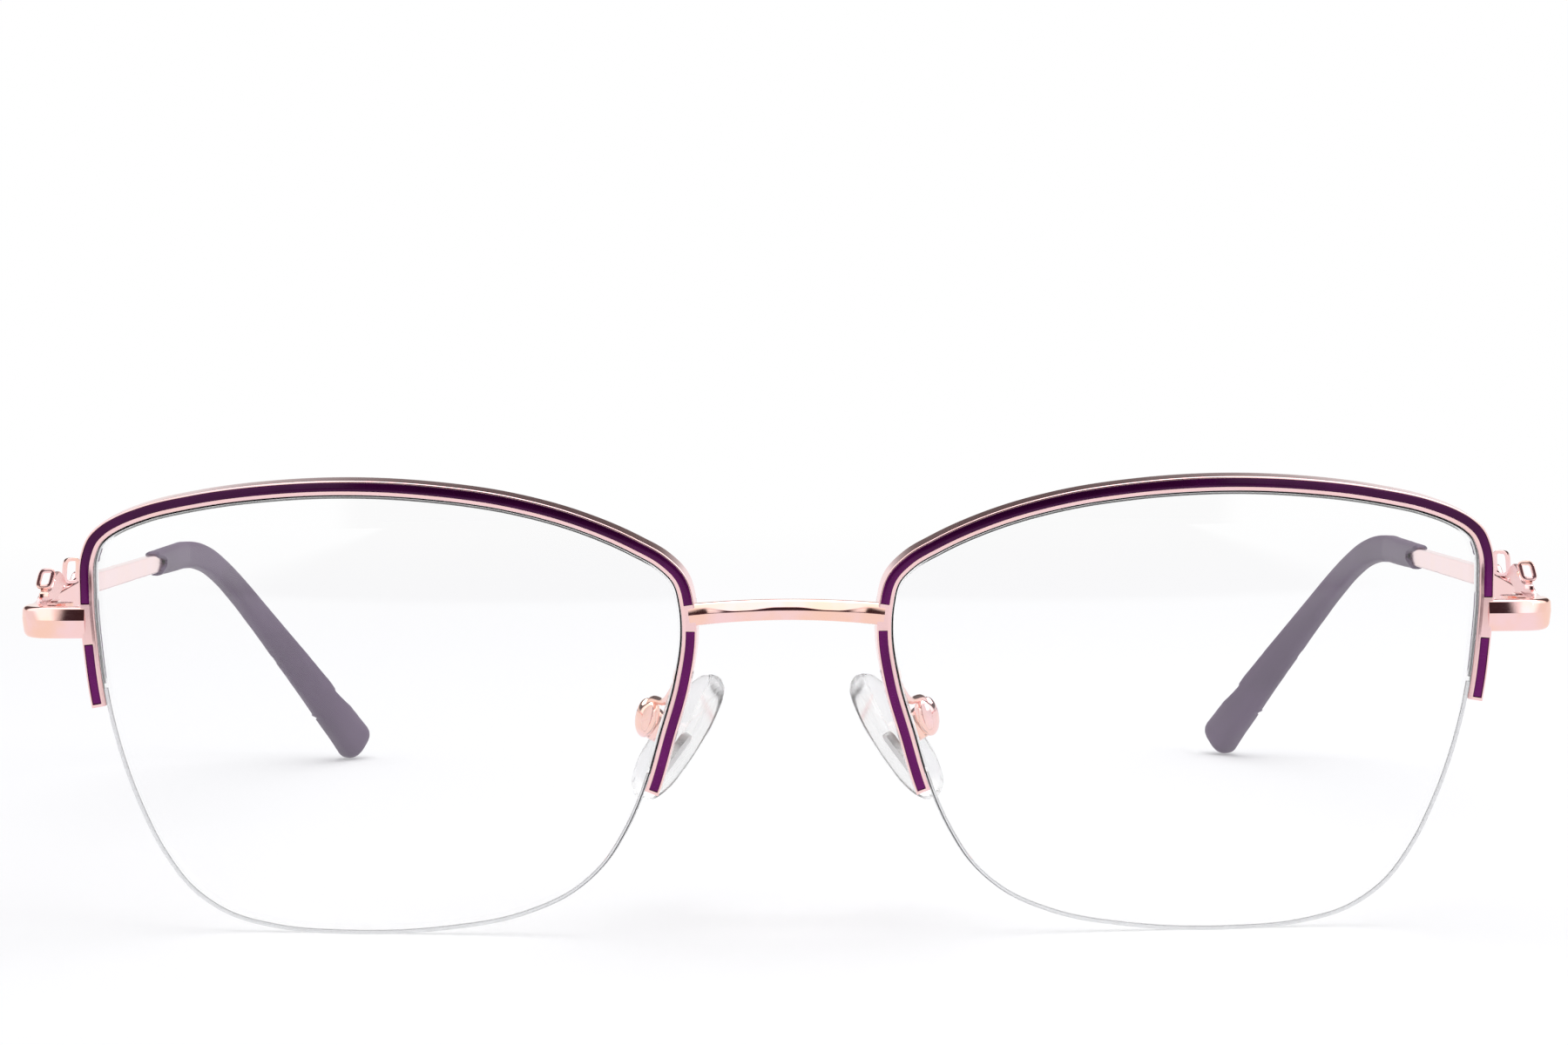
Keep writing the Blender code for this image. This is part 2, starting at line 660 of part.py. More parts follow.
def build_leaf(name, barrels, away, wall):
    """A hinge leaf: a plate against a wall, and arms out to its barrels.

    Away is +1 where the plate lies behind the pin and -1 where it lies in front of it.
    """
    bottom, top = hinge_parts()[0][0], hinge_parts()[2][1]
    plate_x = wall - FIT_GAP - LEAF_THICKNESS / 2
    arm_y = HINGE_Y - LUG_BUTT_Y + LEAF_LENGTH / 2
    leaf = add_object(name, block((LEAF_THICKNESS, LEAF_LENGTH, top - bottom),
                                  (plate_x, away * arm_y, 0)), "rose_gold", hinge_frame)
    inner_x = BARREL_RADIUS / 4
    for low, high in barrels:
        arm = block((plate_x - inner_x, arm_y, high - low),
                    ((plate_x + inner_x) / 2, away * arm_y / 2, (high + low) / 2))
        boolean(leaf, 'UNION', add_cutter(name + "_arm", arm, hinge_frame),
                add_cutter(name + "_barrel", rod(BARREL_RADIUS, low, high), hinge_frame))
    bore = turned(screw_profile(RUN_GAP), ROUND_SIDES)
    boolean(leaf, 'DIFFERENCE', add_cutter(name + "_bore", bore, hinge_frame))


def build_hinge():
    low, middle, high = hinge_parts()
    wall = LUG_X - LUG_THICKNESS / 2 - HINGE_X
    build_leaf("hinge_front", (low, high), -1, wall)
    temple_wall = TEMPLE_FRONT_X - TEMPLE_FRONT_SCALE * BAR_THICKNESS / 2 - HINGE_X
    build_leaf("hinge_temple", (middle,), 1, temple_wall)
    screw = add_object("hinge_screw", turned(screw_profile(), ROUND_SIDES), "steel", hinge_frame)
    top = high[1]
    slot = block((2 * SCREW_HEAD_RADIUS + OVERRUN, SCREW_SLOT_WIDTH, SCREW_HEAD_HEIGHT),
                 (0, 0, top))
    boolean(screw, 'DIFFERENCE', add_cutter("hinge_screw_slot", slot, hinge_frame))


# Temple and its tip, in the hinge's frame

def temple_place(x, y, z):
    """A place given from the lens's temple side, seen from the hinge."""
    return Vector((x - HINGE_X, y - HINGE_Y, z - LUG_Z))


def eased(y, start, end):
    """A share that rises smoothly from 0 at the start to 1 at the end."""
    share = min(max((y - start) / (end - start), 0), 1)
    return share * share * (3 - 2 * share)


def bar_height_at(y):
    """Height of the bar's middle: from the pin it rises to its crest, then slopes down."""
    if y > TEMPLE_CREST_Y:
        return TEMPLE_CREST_Z - math.tan(TEMPLE_DROP) * (y - TEMPLE_CREST_Y)
    return LUG_Z + (TEMPLE_CREST_Z - LUG_Z) * eased(y, HINGE_Y, TEMPLE_CREST_Y)


def front_scale(y):
    """How stout the bar is: stout at the hinge, slim from the taper's end on."""
    return TEMPLE_FRONT_SCALE + (1 - TEMPLE_FRONT_SCALE) * eased(y, LUG_BUTT_Y, TEMPLE_TAPER_Y)


def hinge_end():
    """Where the hinge's rear leaf ends."""
    return HINGE_Y + (HINGE_Y - LUG_BUTT_Y) + LEAF_LENGTH


def front_x(y):
    """The bar's sideways place: straight past the hinge, then in to the slim bar."""
    return TEMPLE_FRONT_X + (TEMPLE_X - TEMPLE_FRONT_X) * eased(y, hinge_end(), TEMPLE_TUCK_Y)


def bend_places(foot):
    """The tip's middle line, from the bend's start to a foot so far above the table."""
    top = bar_height_at(BEND_Y)
    drop = top - (foot - temple_side.z)
    return [Vector((TEMPLE_X + (TIP_X - TEMPLE_X) * inwards, BEND_Y + (TIP_Y - BEND_Y) * back,
                    top - drop * down)) for inwards, back, down in TIP_SPAN_SHARES]


def bend_route():
    """The tip's middle line, with the tip's end standing on the table."""
    places = bend_places(0)
    ahead = (places[-1] - places[-2]).normalized()
    end_height = SLEEVE_HEIGHT * SLEEVE_END_SCALE / 2
    upright = math.sqrt(1 - ahead.z**2)
    foot = max(end_height * upright,
               end_height * SLEEVE_CAP_SHARE * upright - SLEEVE_END_ROUND * ahead.z)
    return bend_places(foot)


def bar_route():
    start = hinge_end()
    places = [LUG_BUTT_Y + RUN_GAP, HINGE_Y]
    places += [start + (TEMPLE_TAPER_Y - start) * step / TAPER_STEPS
               for step in range(TAPER_STEPS + 1)]
    return [(front_x(y), y, bar_height_at(y)) for y in places]


def build_temple():
    route = bar_route()
    bend = bend_route()
    core = bend[:round(len(bend) * CORE_END_SHARE)]
    scales = [front_scale(y) for x, y, z in route] + [1] * len(core)
    route = [temple_place(*place) for place in route + [tuple(place) for place in core]]
    section = chamfered(BAR_THICKNESS, BAR_HEIGHT, BAR_CORNER)
    mesh = sweep("temple", route, section, scales=scales)
    temple = add_object("temple", mesh, "rose_gold", hinge_frame)
    boolean(temple, 'UNION', *ornament_solids())
    bore = chamfered(BAR_THICKNESS + 2 * FIT_GAP, BAR_HEIGHT + 2 * FIT_GAP, BAR_CORNER)
    start = temple_place(TEMPLE_X, SLEEVE_Y - OVERRUN, bar_height_at(SLEEVE_Y - OVERRUN))
    core_route = [start] + [temple_place(*place) for place in core]
    ahead = (core_route[-1] - core_route[-2]).normalized()
    core_route[-1] = core_route[-1] + ahead * 4 * FIT_GAP
    return add_cutter("sleeve_bore", sweep("sleeve_bore", core_route, bore), hinge_frame)


def ornament_solids():
    """The scalloped plate on the bar's front, and the open petals that stand on it."""
    start = Vector((front_x(ORNAMENT_Y), ORNAMENT_Y))
    end_y = ORNAMENT_Y + ORNAMENT_LENGTH
    along = (Vector((front_x(end_y), end_y)) - start).normalized()
    upright = Matrix.Rotation(math.radians(90), 4, 'X')
    heading = math.atan2(along.y, along.x)

    outline = [(ORNAMENT_LENGTH, 0), (0, 0)]
    outline += [(ORNAMENT_LENGTH * share, ORNAMENT_HEIGHT * up) for share, up in ORNAMENT_SHARES]
    place = Matrix.Translation(temple_place(*start, ORNAMENT_Z))
    turn = Matrix.Rotation(heading, 4, 'Z')
    solids = [add_cutter("ornament_plate", plate("ornament_plate", outline, ORNAMENT_THICKNESS),
                         hinge_frame, place @ turn @ upright)]

    section = chamfered(PETAL_BAND, PETAL_THICKNESS, PETAL_BAND / 5)
    turn = Matrix.Rotation(heading + PETAL_TURN, 4, 'Z')
    for y, z, length, height in zip(PETAL_Y, PETAL_Z, PETAL_LENGTHS, PETAL_HEIGHTS):
        ring = []
        for index in range(PETAL_POINTS):
            angle = 2 * math.pi * index / PETAL_POINTS
            up = (height - PETAL_BAND) / 2 * math.sin(angle)
            across = (length - PETAL_BAND) / 2 * math.cos(angle)
            ring.append((across + PETAL_SLANT * up / height, up, 0))
        x = (start + along * (y - ORNAMENT_Y)).x
        place = Matrix.Translation(temple_place(x, y, z))
        solids.append(add_cutter("petal", sweep("petal", ring, section, closed=True),
                                 hinge_frame, place @ turn @ upright))
    return solids


def build_temple_tip(core_bore):
    sleeve = [(TEMPLE_X, SLEEVE_Y, bar_height_at(SLEEVE_Y)),
              (TEMPLE_X, SLEEVE_Y + MOUTH_REACH, bar_height_at(SLEEVE_Y + MOUTH_REACH))]
    bend = smooth_route(bend_route(), 2, closed=False)
    places = [Vector(place) for place in sleeve] + bend
    scales = []
    for place in places:
        if place.y <= BEND_Y:
            share = (place.y - SLEEVE_Y) / (BEND_Y - SLEEVE_Y)
            scales.append(1 + (SLEEVE_BEND_SCALE - 1) * share)
        else:
            share = (bend[0].z - place.z) / (bend[0].z - bend[-1].z)
            scales.append(SLEEVE_BEND_SCALE + (SLEEVE_END_SCALE - SLEEVE_BEND_SCALE) * share**2)
    ahead = (places[-1] - places[-2]).normalized()
    places.append(places[-1] + ahead * SLEEVE_END_ROUND)
    scales.append(SLEEVE_END_SCALE * SLEEVE_CAP_SHARE)
    route = [temple_place(*place) for place in places]
    section = oval(SLEEVE_THICKNESS, SLEEVE_HEIGHT, SLEEVE_SIDES)
    mesh = sweep("temple_tip", route, section, scales=scales)
    tip = add_object("temple_tip", mesh, "purple_sleeve", hinge_frame)
    boolean(tip, 'DIFFERENCE', core_bore, mouth_notch(), mouth_cut())


def mouth_notch():
    """A long oval notch across the sleeve's mouth, as high as the bar."""
    notch = rod(1, -1, 1, 2 * SLEEVE_SIDES)
    notch.transform(Matrix.Diagonal((MOUTH_REACH, BAR_HEIGHT / 2, SLEEVE_THICKNESS, 1)))
    place = temple_place(TEMPLE_X, SLEEVE_Y, bar_height_at(SLEEVE_Y))
    turn = Matrix.Rotation(-TEMPLE_DROP, 4, 'X') @ Matrix.Rotation(
        math.radians(90), 4, 'Z') @ Matrix.Rotation(math.radians(90), 4, 'X')
    return add_cutter("mouth_notch", notch, hinge_frame, Matrix.Translation(place) @ turn)


def mouth_cut():
    """A slanted cut that shortens the sleeve's lower lip."""
    size = 2 * SLEEVE_HEIGHT + OVERRUN
    cut = block((size, size, 3 * size), (0, -size / 2, 0))
    place = temple_place(TEMPLE_X, SLEEVE_Y, bar_height_at(SLEEVE_Y) + SLEEVE_HEIGHT / 2)
    turn = Matrix.Rotation(MOUTH_SLANT, 4, 'X')
    return add_cutter("mouth_cut", cut, hinge_frame, Matrix.Translation(place) @ turn)


# Nose pad and what carries it, in the pad's frame

def pad_matrix():
    """X towards the pad's front edge, Y up the pad, Z towards the nose, at the pivot."""
    flare = Matrix.Rotation(-PAD_FLARE, 3, 'Y')
    up = flare @ Vector((0, 0, 1))
    front = Vector((-math.sin(PAD_SPLAY), -math.cos(PAD_SPLAY), 0))
    front = (front - up * front.dot(up)).normalized()
    nose = front.cross(up)
    turn = Matrix((front, up, nose)).transposed().to_4x4()
    place = by_nose(*PAD_PLACE) - nose * PAD_PIVOT
    return Matrix.Translation(place) @ turn


def build_pad():
    outline = [(x * PAD_WIDTH / 2, y * PAD_LENGTH / 2, 0) for x, y in PAD_OUTLINE_SHARES]
    outline = [(place.x, place.y) for place in smooth_route(outline, 2, closed=True)]
    mesh = plate("nose_pad", outline, PAD_THICKNESS, PAD_ROUND)
    middle = Matrix.Translation((0, 0, PAD_PIVOT))
    pad = add_object("nose_pad", mesh, "clear_pad", pad_frame, middle)

    def insert_solids(grow):
        core = block((INSERT_WIDTH + 2 * grow, INSERT_LENGTH + 2 * grow,
                      INSERT_THICKNESS + 2 * grow), (0, 0, 0))
        tab = block((TAB_WIDTH + 2 * grow, TAB_LENGTH + 2 * grow, TAB_REACH),
                    (0, 0, -TAB_REACH / 2))
        return core, tab

    core, tab = insert_solids(0)
    insert = add_object("pad_insert", core, "steel", pad_frame, middle)
    boolean(insert, 'UNION', add_cutter("pad_tab", tab, pad_frame, middle))
    boolean(insert, 'DIFFERENCE', add_cutter("pad_tab_bore", pad_screw_rod(RUN_GAP), pad_frame))
    for name, solid in zip(("pad_core_room", "pad_tab_room"), insert_solids(FIT_GAP)):
        boolean(pad, 'DIFFERENCE', add_cutter(name, solid, pad_frame, middle))


def pad_box_width():
    return TAB_WIDTH + 2 * RUN_GAP + 2 * BOX_WALL


def pad_screw_rod(grow):
    """The pad screw's shank, across the box and into its head."""
    reach = pad_box_width() / 2
    head_reach = reach + FIT_GAP + PAD_SCREW_HEAD_HEIGHT / 2
    shank = rod(PAD_SCREW_RADIUS + grow, -reach - grow, head_reach + grow, PAD_SCREW_SIDES)
    shank.transform(Matrix.Rotation(math.radians(90), 4, 'Y'))
    return shank


def build_pad_box():
    """A cup with two cheeks, open towards the pad."""
    width = pad_box_width()
    room = TAB_REACH - PAD_PIVOT + ROCK_ROOM
    depth = room + BOX_FLOOR
    front = PAD_PIVOT - PAD_THICKNESS / 2 - ROCK_ROOM
    shell = block((width, BOX_LENGTH, front + depth), (0, 0, (front - depth) / 2), BOX_ROUND)
    box = add_object("pad_box", shell, "rose_gold", pad_frame)
    hollow = block((TAB_WIDTH + 2 * RUN_GAP, BOX_LENGTH - 2 * BOX_WALL, room + front + OVERRUN),
                   (0, 0, (front + OVERRUN - room) / 2))
    boolean(box, 'DIFFERENCE', add_cutter("pad_box_room", hollow, pad_frame),
            add_cutter("pad_box_bore", pad_screw_rod(RUN_GAP / 2), pad_frame))

    screw = add_object("pad_screw", pad_screw_rod(0), "steel", pad_frame)
    head = rod(PAD_SCREW_HEAD, 0, PAD_SCREW_HEAD_HEIGHT, PAD_SCREW_SIDES)
    head.transform(Matrix.Translation((width / 2 + FIT_GAP, 0, 0))
                   @ Matrix.Rotation(math.radians(90), 4, 'Y'))
    boolean(screw, 'UNION', add_cutter("pad_screw_head", head, pad_frame))
    return pad_frame.matrix_world @ Vector((0, 0, -depth - FIT_GAP))


def build_pad_arm(box_back, rim_seat):
    """A bent wire from the rim's back to the back of the pad's box."""
    inwards = pad_frame.matrix_world.to_3x3() @ Vector((0, 0, 1))
    places = [by_nose(*place) for place in ARM_ROUTE]
    places += [box_back - inwards * ARM_RADIUS, box_back]
    route = smooth_route(places, ARM_STEPS, closed=False)
    scales = [start + (end - start) * step / ARM_STEPS
              for start, end in zip(ARM_SCALES, ARM_SCALES[1:]) for step in range(ARM_STEPS)]
    mesh = wire("pad_arm", route, ARM_RADIUS, [*scales, ARM_SCALES[-1]])
    arm = add_object("pad_arm", mesh, "rose_gold", centre_frame)
    boolean(arm, 'DIFFERENCE', rim_seat)


# Left side

def mirror_to_left(frames):
    """Gives each right piece its suffix, and a mirrored copy in the left frame."""
    depsgraph = bpy.context.evaluated_depsgraph_get()
    for item in [piece for piece in pieces if piece.name != "bridge"]:
        base = item.name
        mesh = bpy.data.meshes.new_from_object(item.evaluated_get(depsgraph))
        mesh.transform(MIRROR)
        mesh.flip_normals()
        left = bpy.data.objects.new(base + "_left", mesh)
        parts.objects.link(left)
        left.parent = frames[item.parent]
        left.matrix_parent_inverse = Matrix.Identity(4)
        left.matrix_basis = MIRROR @ item.matrix_basis @ MIRROR
        item.name = base + "_right"


clear_scene()
parts = make_collection(COLLECTION_NAME)
cutters = make_collection("cutters")
materials = {name: make_material(name) for name in COLOURS}
pieces = []

lens_edge = edge_outline()
centre_frame = make_empty("front", Matrix.Identity(4))
lens_frame = make_empty("lens_frame_right", lens_matrix())
bpy.context.view_layer.update()
nose_side = lens_side(min(LENS_EDGE_SHARES))
temple_side = lens_side(max(LENS_EDGE_SHARES))
hinge_frame = make_empty("hinge_right", Matrix.Translation(by_temple(HINGE_X, HINGE_Y, LUG_Z)))
pad_frame = make_empty("pad_pivot_right", pad_matrix())
frames = {centre_frame: centre_frame}
for frame in (lens_frame, hinge_frame, pad_frame):
    name = frame.name.replace("right", "left")
    frames[frame] = make_empty(name, MIRROR @ frame.matrix_world @ MIRROR)
bpy.context.view_layer.update()

rim_seat = build_rim()
build_enamel()
build_liner()
build_nylon_line()
build_lens()
build_bridge(rim_seat)
build_endpiece(rim_seat)
build_hinge()
core_bore = build_temple()
build_temple_tip(core_bore)
build_pad()
box_back = build_pad_box()
build_pad_arm(box_back, rim_seat)
mirror_to_left(frames)
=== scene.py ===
"""Semi-rimless eyeglasses: finished surfaces, materials and a plain studio for them.

Metres, +Z up. The front faces -Y, and right and left are those of someone who looks at the
front. Each right piece is also made mirrored, for the left.
"""

import math

import bmesh
import bpy
from bpy.props import FloatProperty, FloatVectorProperty, PointerProperty
from mathutils import Matrix, Vector


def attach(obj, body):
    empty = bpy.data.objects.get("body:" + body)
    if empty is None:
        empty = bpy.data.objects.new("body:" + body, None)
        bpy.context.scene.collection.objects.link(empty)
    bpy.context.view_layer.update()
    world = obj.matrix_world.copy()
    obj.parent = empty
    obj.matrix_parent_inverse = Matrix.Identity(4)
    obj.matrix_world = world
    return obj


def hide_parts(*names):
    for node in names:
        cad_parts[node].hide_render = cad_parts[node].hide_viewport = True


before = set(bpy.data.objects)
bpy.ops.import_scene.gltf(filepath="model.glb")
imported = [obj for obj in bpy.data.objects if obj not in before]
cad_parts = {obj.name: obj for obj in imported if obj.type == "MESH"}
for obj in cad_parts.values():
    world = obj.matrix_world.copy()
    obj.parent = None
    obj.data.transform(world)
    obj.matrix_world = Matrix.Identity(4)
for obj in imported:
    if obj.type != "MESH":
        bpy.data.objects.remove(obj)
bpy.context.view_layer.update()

bl_info = {
    "name": "Semi-rimless eyeglasses",
    "version": (1, 0, 0),
    "blender": (4, 5, 0),
    "location": "3D View > Sidebar > Eyewear",
    "description": "Builds the finished pieces of a pair of semi-rimless eyeglasses",
    "category": "Add Mesh",
}

SIDES = ("right", 1), ("left", -1)
QUARTER = math.radians(90)

# Lens edge, in half widths towards the temple and half heights upwards
LENS_EDGE_SHARES = (
    (1.000, 0.532), (0.994, 0.690), (0.975, 0.750), (0.945, 0.788), (0.905, 0.820),
    (0.820, 0.867), (0.640, 0.928), (0.370, 0.981), (0.105, 1.000), (-0.160, 0.985),
    (-0.427, 0.935), (-0.645, 0.855), (-0.839, 0.742), (-0.922, 0.676), (-0.972, 0.606),
    (-0.994, 0.500), (-1.000, 0.389), (-0.978, 0.167), (-0.929, -0.066), (-0.877, -0.303),
    (-0.812, -0.506), (-0.730, -0.677), (-0.633, -0.794), (-0.455, -0.905), (-0.190, -0.974),
    (0.144, -1.000), (0.395, -0.983), (0.564, -0.926), (0.695, -0.807), (0.777, -0.660),
    (0.864, -0.419), (0.925, -0.180), (0.967, 0.064), (0.988, 0.290))
EDGE_STEPS = 8

# Where the rim starts on that edge, and how many of its spans the rim and its inlays take
RIM_START, RIM_SPANS = 31.85, 21.25
ENAMEL_SPANS = {"side": (0.07, 1.20), "top": (1.97, 17.10), "nasal": (18.13, 21.17)}

# Spans over which the enamel's channel ends, and its depth in metres where there is no enamel
CHANNEL_END, FLAT_CHANNEL = 0.02, 0.000004

# Play between fitted pieces, and the groove inside the rim
FIT_GAP = 0.00005
SLOT_WIDTH = 0.0009
SLOT_DEPTH = 0.00042

# Places on the temple, from the lens's temple side: X outwards, Y backwards, Z upwards
HINGE_Y, HINGE_Z = 0.0044, -0.00281
CREST_Y, CREST_Z, DROP = 0.0186, -0.0011, math.radians(2.3)
BAR_FRONT_X, BAR_X = 0.0059, 0.00402
SLEEVE_Y, BEND_Y, TIP_Y, TIP_X = 0.0650, 0.0876, 0.1250, -0.01083
TIP_ABOVE_TABLE = 0.0022
ORNAMENT_START, ORNAMENT_END, ORNAMENT_BASE = 0.0040, 0.0190, -0.0024
ORNAMENT_LENGTH, ORNAMENT_HEIGHT = 0.0150, 0.0034

# The tip's middle line, in shares of its way inwards, backwards and down
BEND_SHARES = (
    (0.00, 0.00, 0.00), (0.04, 0.13, 0.016), (0.09, 0.27, 0.056), (0.155, 0.43, 0.135),
    (0.24, 0.60, 0.25), (0.38, 0.745, 0.41), (0.53, 0.835, 0.56), (0.71, 0.885, 0.72),
    (0.875, 0.93, 0.87), (1.00, 1.00, 1.00))

# How far in front of its pivot the middle of the pad is
PAD_STANDOFF = 0.0021

# Depths of bumps, the heights over which painted shade darkens the enamel, and the softening of
# edges
FINE_BUMP, SOFT_BUMP = 0.00001, 0.00003
ENAMEL_PAINTED_SHADE = 0.028, 0.038
SOFT_EDGE = 0.00003
WHITE = (1.0, 1.0, 1.0)
UP = Vector((0, 0, 1))


# Sizes and colours that a user may change

def length(name, description, default):
    return FloatProperty(name=name, description=description, default=default, min=0,
                         precision=5, subtype='DISTANCE', unit='LENGTH')


def colour(name, description, default):
    return FloatVectorProperty(name=name, description=description, default=default, size=3,
                               min=0, max=1, subtype='COLOR')


def share(name, description, default):
    return FloatProperty(name=name, description=description, default=default, min=0, max=1,
                         subtype='FACTOR')


class EyewearFront(bpy.types.PropertyGroup):
    """Sizes of the front"""
    lens_width: length("Lens width", "Width of each lens", 0.0534)
    lens_height: length("Lens height", "Height of each lens", 0.0404)
    lens_gap: length("Lens gap", "Distance between the lenses, over the nose", 0.01877)
    lens_thickness: length("Lens thickness", "Thickness of each lens", 0.0018)
    base_curve: length("Base curve", "Radius of the lens's front surface", 0.130)
    stand_y: FloatProperty(name="Stand", description="Where the lenses stand on the table",
                           default=-0.06164, subtype='DISTANCE', unit='LENGTH')
    lean: FloatProperty(name="Lean", description="How far the front's top leans forward",
                        default=math.radians(5.6), subtype='ANGLE', unit='ROTATION')
    wrap: FloatProperty(name="Wrap", description="How far the front's outer ends sweep back",
                        default=math.radians(5.0), subtype='ANGLE', unit='ROTATION')
    rim_width: length("Rim width", "Rim wire, seen from the front", 0.0013)
    rim_depth: length("Rim depth", "Rim wire, from front to back", 0.0023)
    channel_width: length("Channel width", "Front channel that holds the enamel", 0.0008)
    channel_depth: length("Channel depth", "Depth of the enamel's channel", 0.00022)
    channel_lip: length("Channel lip", "Metal left outside the enamel", 0.00015)
    enamel_crown: length("Enamel crown", "How far the enamel stands proud", 0.00006)
    nylon_radius: length("Nylon radius", "Radius of the nylon line", 0.00023)


class EyewearTemple(bpy.types.PropertyGroup):
    """Sizes of the temples"""
    bar_thickness: length("Bar thickness", "Slim bar, sideways", 0.00105)
    bar_height: length("Bar height", "Slim bar, upwards", 0.0019)
    sleeve_thickness: length("Sleeve thickness", "Tip's sleeve, sideways", 0.0019)
    sleeve_height: length("Sleeve height", "Tip's sleeve, upwards", 0.0027)
    mouth_reach: length("Mouth reach", "Depth of the notch in the sleeve's mouth", 0.0048)
    ornament_thickness: length("Ornament thickness", "Thickness of the scalloped plate",
                               0.000432)


class EyewearPad(bpy.types.PropertyGroup):
    """Sizes of the nose pads"""
    pad_width: length("Pad width", "Width of each pad", 0.0070)
    pad_length: length("Pad length", "Length of each pad", 0.0134)
    pad_thickness: length("Pad thickness", "Thickness of each pad", 0.0023)
    arm_radius: length("Arm radius", "Radius of the wire that carries the pad", 0.00045)


class EyewearFinish(bpy.types.PropertyGroup):
    """Colours of the finishes"""
    gold: colour("Rose gold", "Polished rose gold plating", (0.95, 0.605, 0.49))
    gold_pink: colour("Pink gold", "Pinker gold of the temples and edges", (0.94, 0.645, 0.66))
    enamel: colour("Enamel", "Deep purple enamel", (0.125, 0.0025, 0.108))
    enamel_light: colour("Enamel, thin", "Enamel where it is thinner", (0.165, 0.005, 0.145))
    sleeve: colour("Sleeve", "Dusky purple of the tips", (0.098, 0.062, 0.118))
    # Painted shade: a near-black copy of the sleeve's colour for the inside and lip of the tips'
    # mouths
    sleeve_cut: colour("Sleeve's mouth", "Cut edge of the tips' mouths", (0.028, 0.010, 0.024))
    lens: colour("Lens", "Clear lens", (0.998, 0.999, 1.0))
    nylon: colour("Nylon", "Clear nylon", (0.93, 0.93, 0.95))
    pad: colour("Pad", "Clear soft pad", (0.985, 0.985, 0.99))
    steel: colour("Steel", "Screws and inserts", (0.78, 0.77, 0.77))
    wear: share("Wear", "How much fine handling the polished metal shows", 0.35)


# Shader building

class Signal:
    """A socket in a shader. Sums and products of signals add their Math nodes."""

    def __init__(self, finish, socket):
        self.finish = finish
        self.socket = socket

    def math(self, operation, *others):
        return self.finish.node('ShaderNodeMath', {"operation": operation},
                                dict(enumerate((self, *others))))

    def __add__(self, other):
        return self.math('ADD', other)

    __radd__ = __add__

    def __sub__(self, other):
        return self.math('SUBTRACT', other)

    def __rsub__(self, other):
        return self.math('MULTIPLY_ADD', -1, other)

    def __mul__(self, other):
        return self.math('MULTIPLY', other)

    __rmul__ = __mul__

    def eased(self, low, high):
        """Rises smoothly from 0 to 1 between two values."""
        return self.finish.node('ShaderNodeMapRange', {"interpolation_type": 'SMOOTHSTEP'},
                                {"Value": self, "From Min": low, "From Max": high})


class Shading:
    """The nodes of one material or of the world."""

    def __init__(self, owner):
        owner.use_nodes = True
        self.tree = owner.node_tree
        self.tree.nodes.clear()

    def node(self, kind, settings=None, values=None, output=0):
        """A node of a type: its settings first, then the values or links of its sockets."""
        node = self.tree.nodes.new(kind)
        for name, value in (settings or {}).items():
            setattr(node, name, value)
        for name, value in (values or {}).items():
            self.feed(node.inputs[name], value)
        if node.outputs:
            return Signal(self, node.outputs[output])

    def feed(self, socket, value):
        if isinstance(value, Signal):
            self.tree.links.new(value.socket, socket)
        elif hasattr(socket.default_value, "__len__") and len(socket.default_value) == 4:
            socket.default_value = (*value, 1)
        else:
            socket.default_value = value

    def place(self):
        return self.node('ShaderNodeTexCoord', output="Object")

    def parts_of(self, vector):
        return [self.node('ShaderNodeSeparateXYZ', None, {0: vector}, output=axis)
                for axis in range(3)]

    def rays(self, *kinds):
        """1 for rays of these kinds and 0 for all others."""
        found = [self.node('ShaderNodeLightPath', output=kind) for kind in kinds]
        return sum(found[1:], found[0]).math('MINIMUM', 1)

    def noise(self, scale, detail=4, stretch=None, seed=0):
        """Smooth noise, with so many lumps to a metre."""
        vector = self.place()
        if stretch:
            vector = self.node('ShaderNodeVectorMath', {"operation": 'MULTIPLY'},
                               {0: vector, 1: stretch})
        return self.node('ShaderNodeTexNoise', {"noise_dimensions": '4D'},
                         {"Vector": vector, "W": seed, "Scale": scale, "Detail": detail})

    def mix(self, factor, first, second):
        return self.node('ShaderNodeMix', {"data_type": 'RGBA'},
                         {0: factor, 6: first, 7: second}, output=2)

    def bump(self, height, strength, distance=FINE_BUMP):
        return self.node('ShaderNodeBump', None,
                         {"Height": height, "Strength": strength, "Distance": distance})

    def glow(self, tone, strength=1.0):
        return self.node('ShaderNodeEmission', None, {"Color": tone, "Strength": strength})

    def blend(self, factor, first, second):
        return self.node('ShaderNodeMixShader', None, {0: factor, 1: first, 2: second})


class Finish(Shading):
    """A material: one Principled shader, fed by what varies over the surface."""

    def __init__(self, name):
        self.material = bpy.data.materials.new(name)
        super().__init__(self.material)

    def close(self, **values):
        shader = self.node('ShaderNodeBsdfPrincipled', None,
                           {name.replace("_", " "): value for name, value in values.items()})
        self.node('ShaderNodeOutputMaterial', None, {"Surface": shader})
        return self.material


def toned(tone, factor):
    """A colour, lighter or darker by a factor."""
    return tuple(factor * value for value in tone)


def polished_gold(name, tone, other_tone, roughness, wear):
    """Plated metal: a drift of tone, hairline handling marks and an almost flat lacquer wave."""
    finish = Finish(name)
    drift = finish.noise(260, 3)
    hairlines = finish.noise(900, 5, (1, 1, 9), 3)
    marks = finish.noise(5200, 6, None, 7)
    tint = finish.mix(drift.eased(0.35, 0.68), tone, other_tone)
    rough = roughness + wear * (0.10 * hairlines.eased(0.52, 0.78) + 0.05 * marks)
    wave = finish.bump(hairlines * 0.6 + marks * 0.4, 0.06 + 0.1 * wear)
    return finish.close(Base_Color=tint, Metallic=1.0, Roughness=rough, Normal=wave)


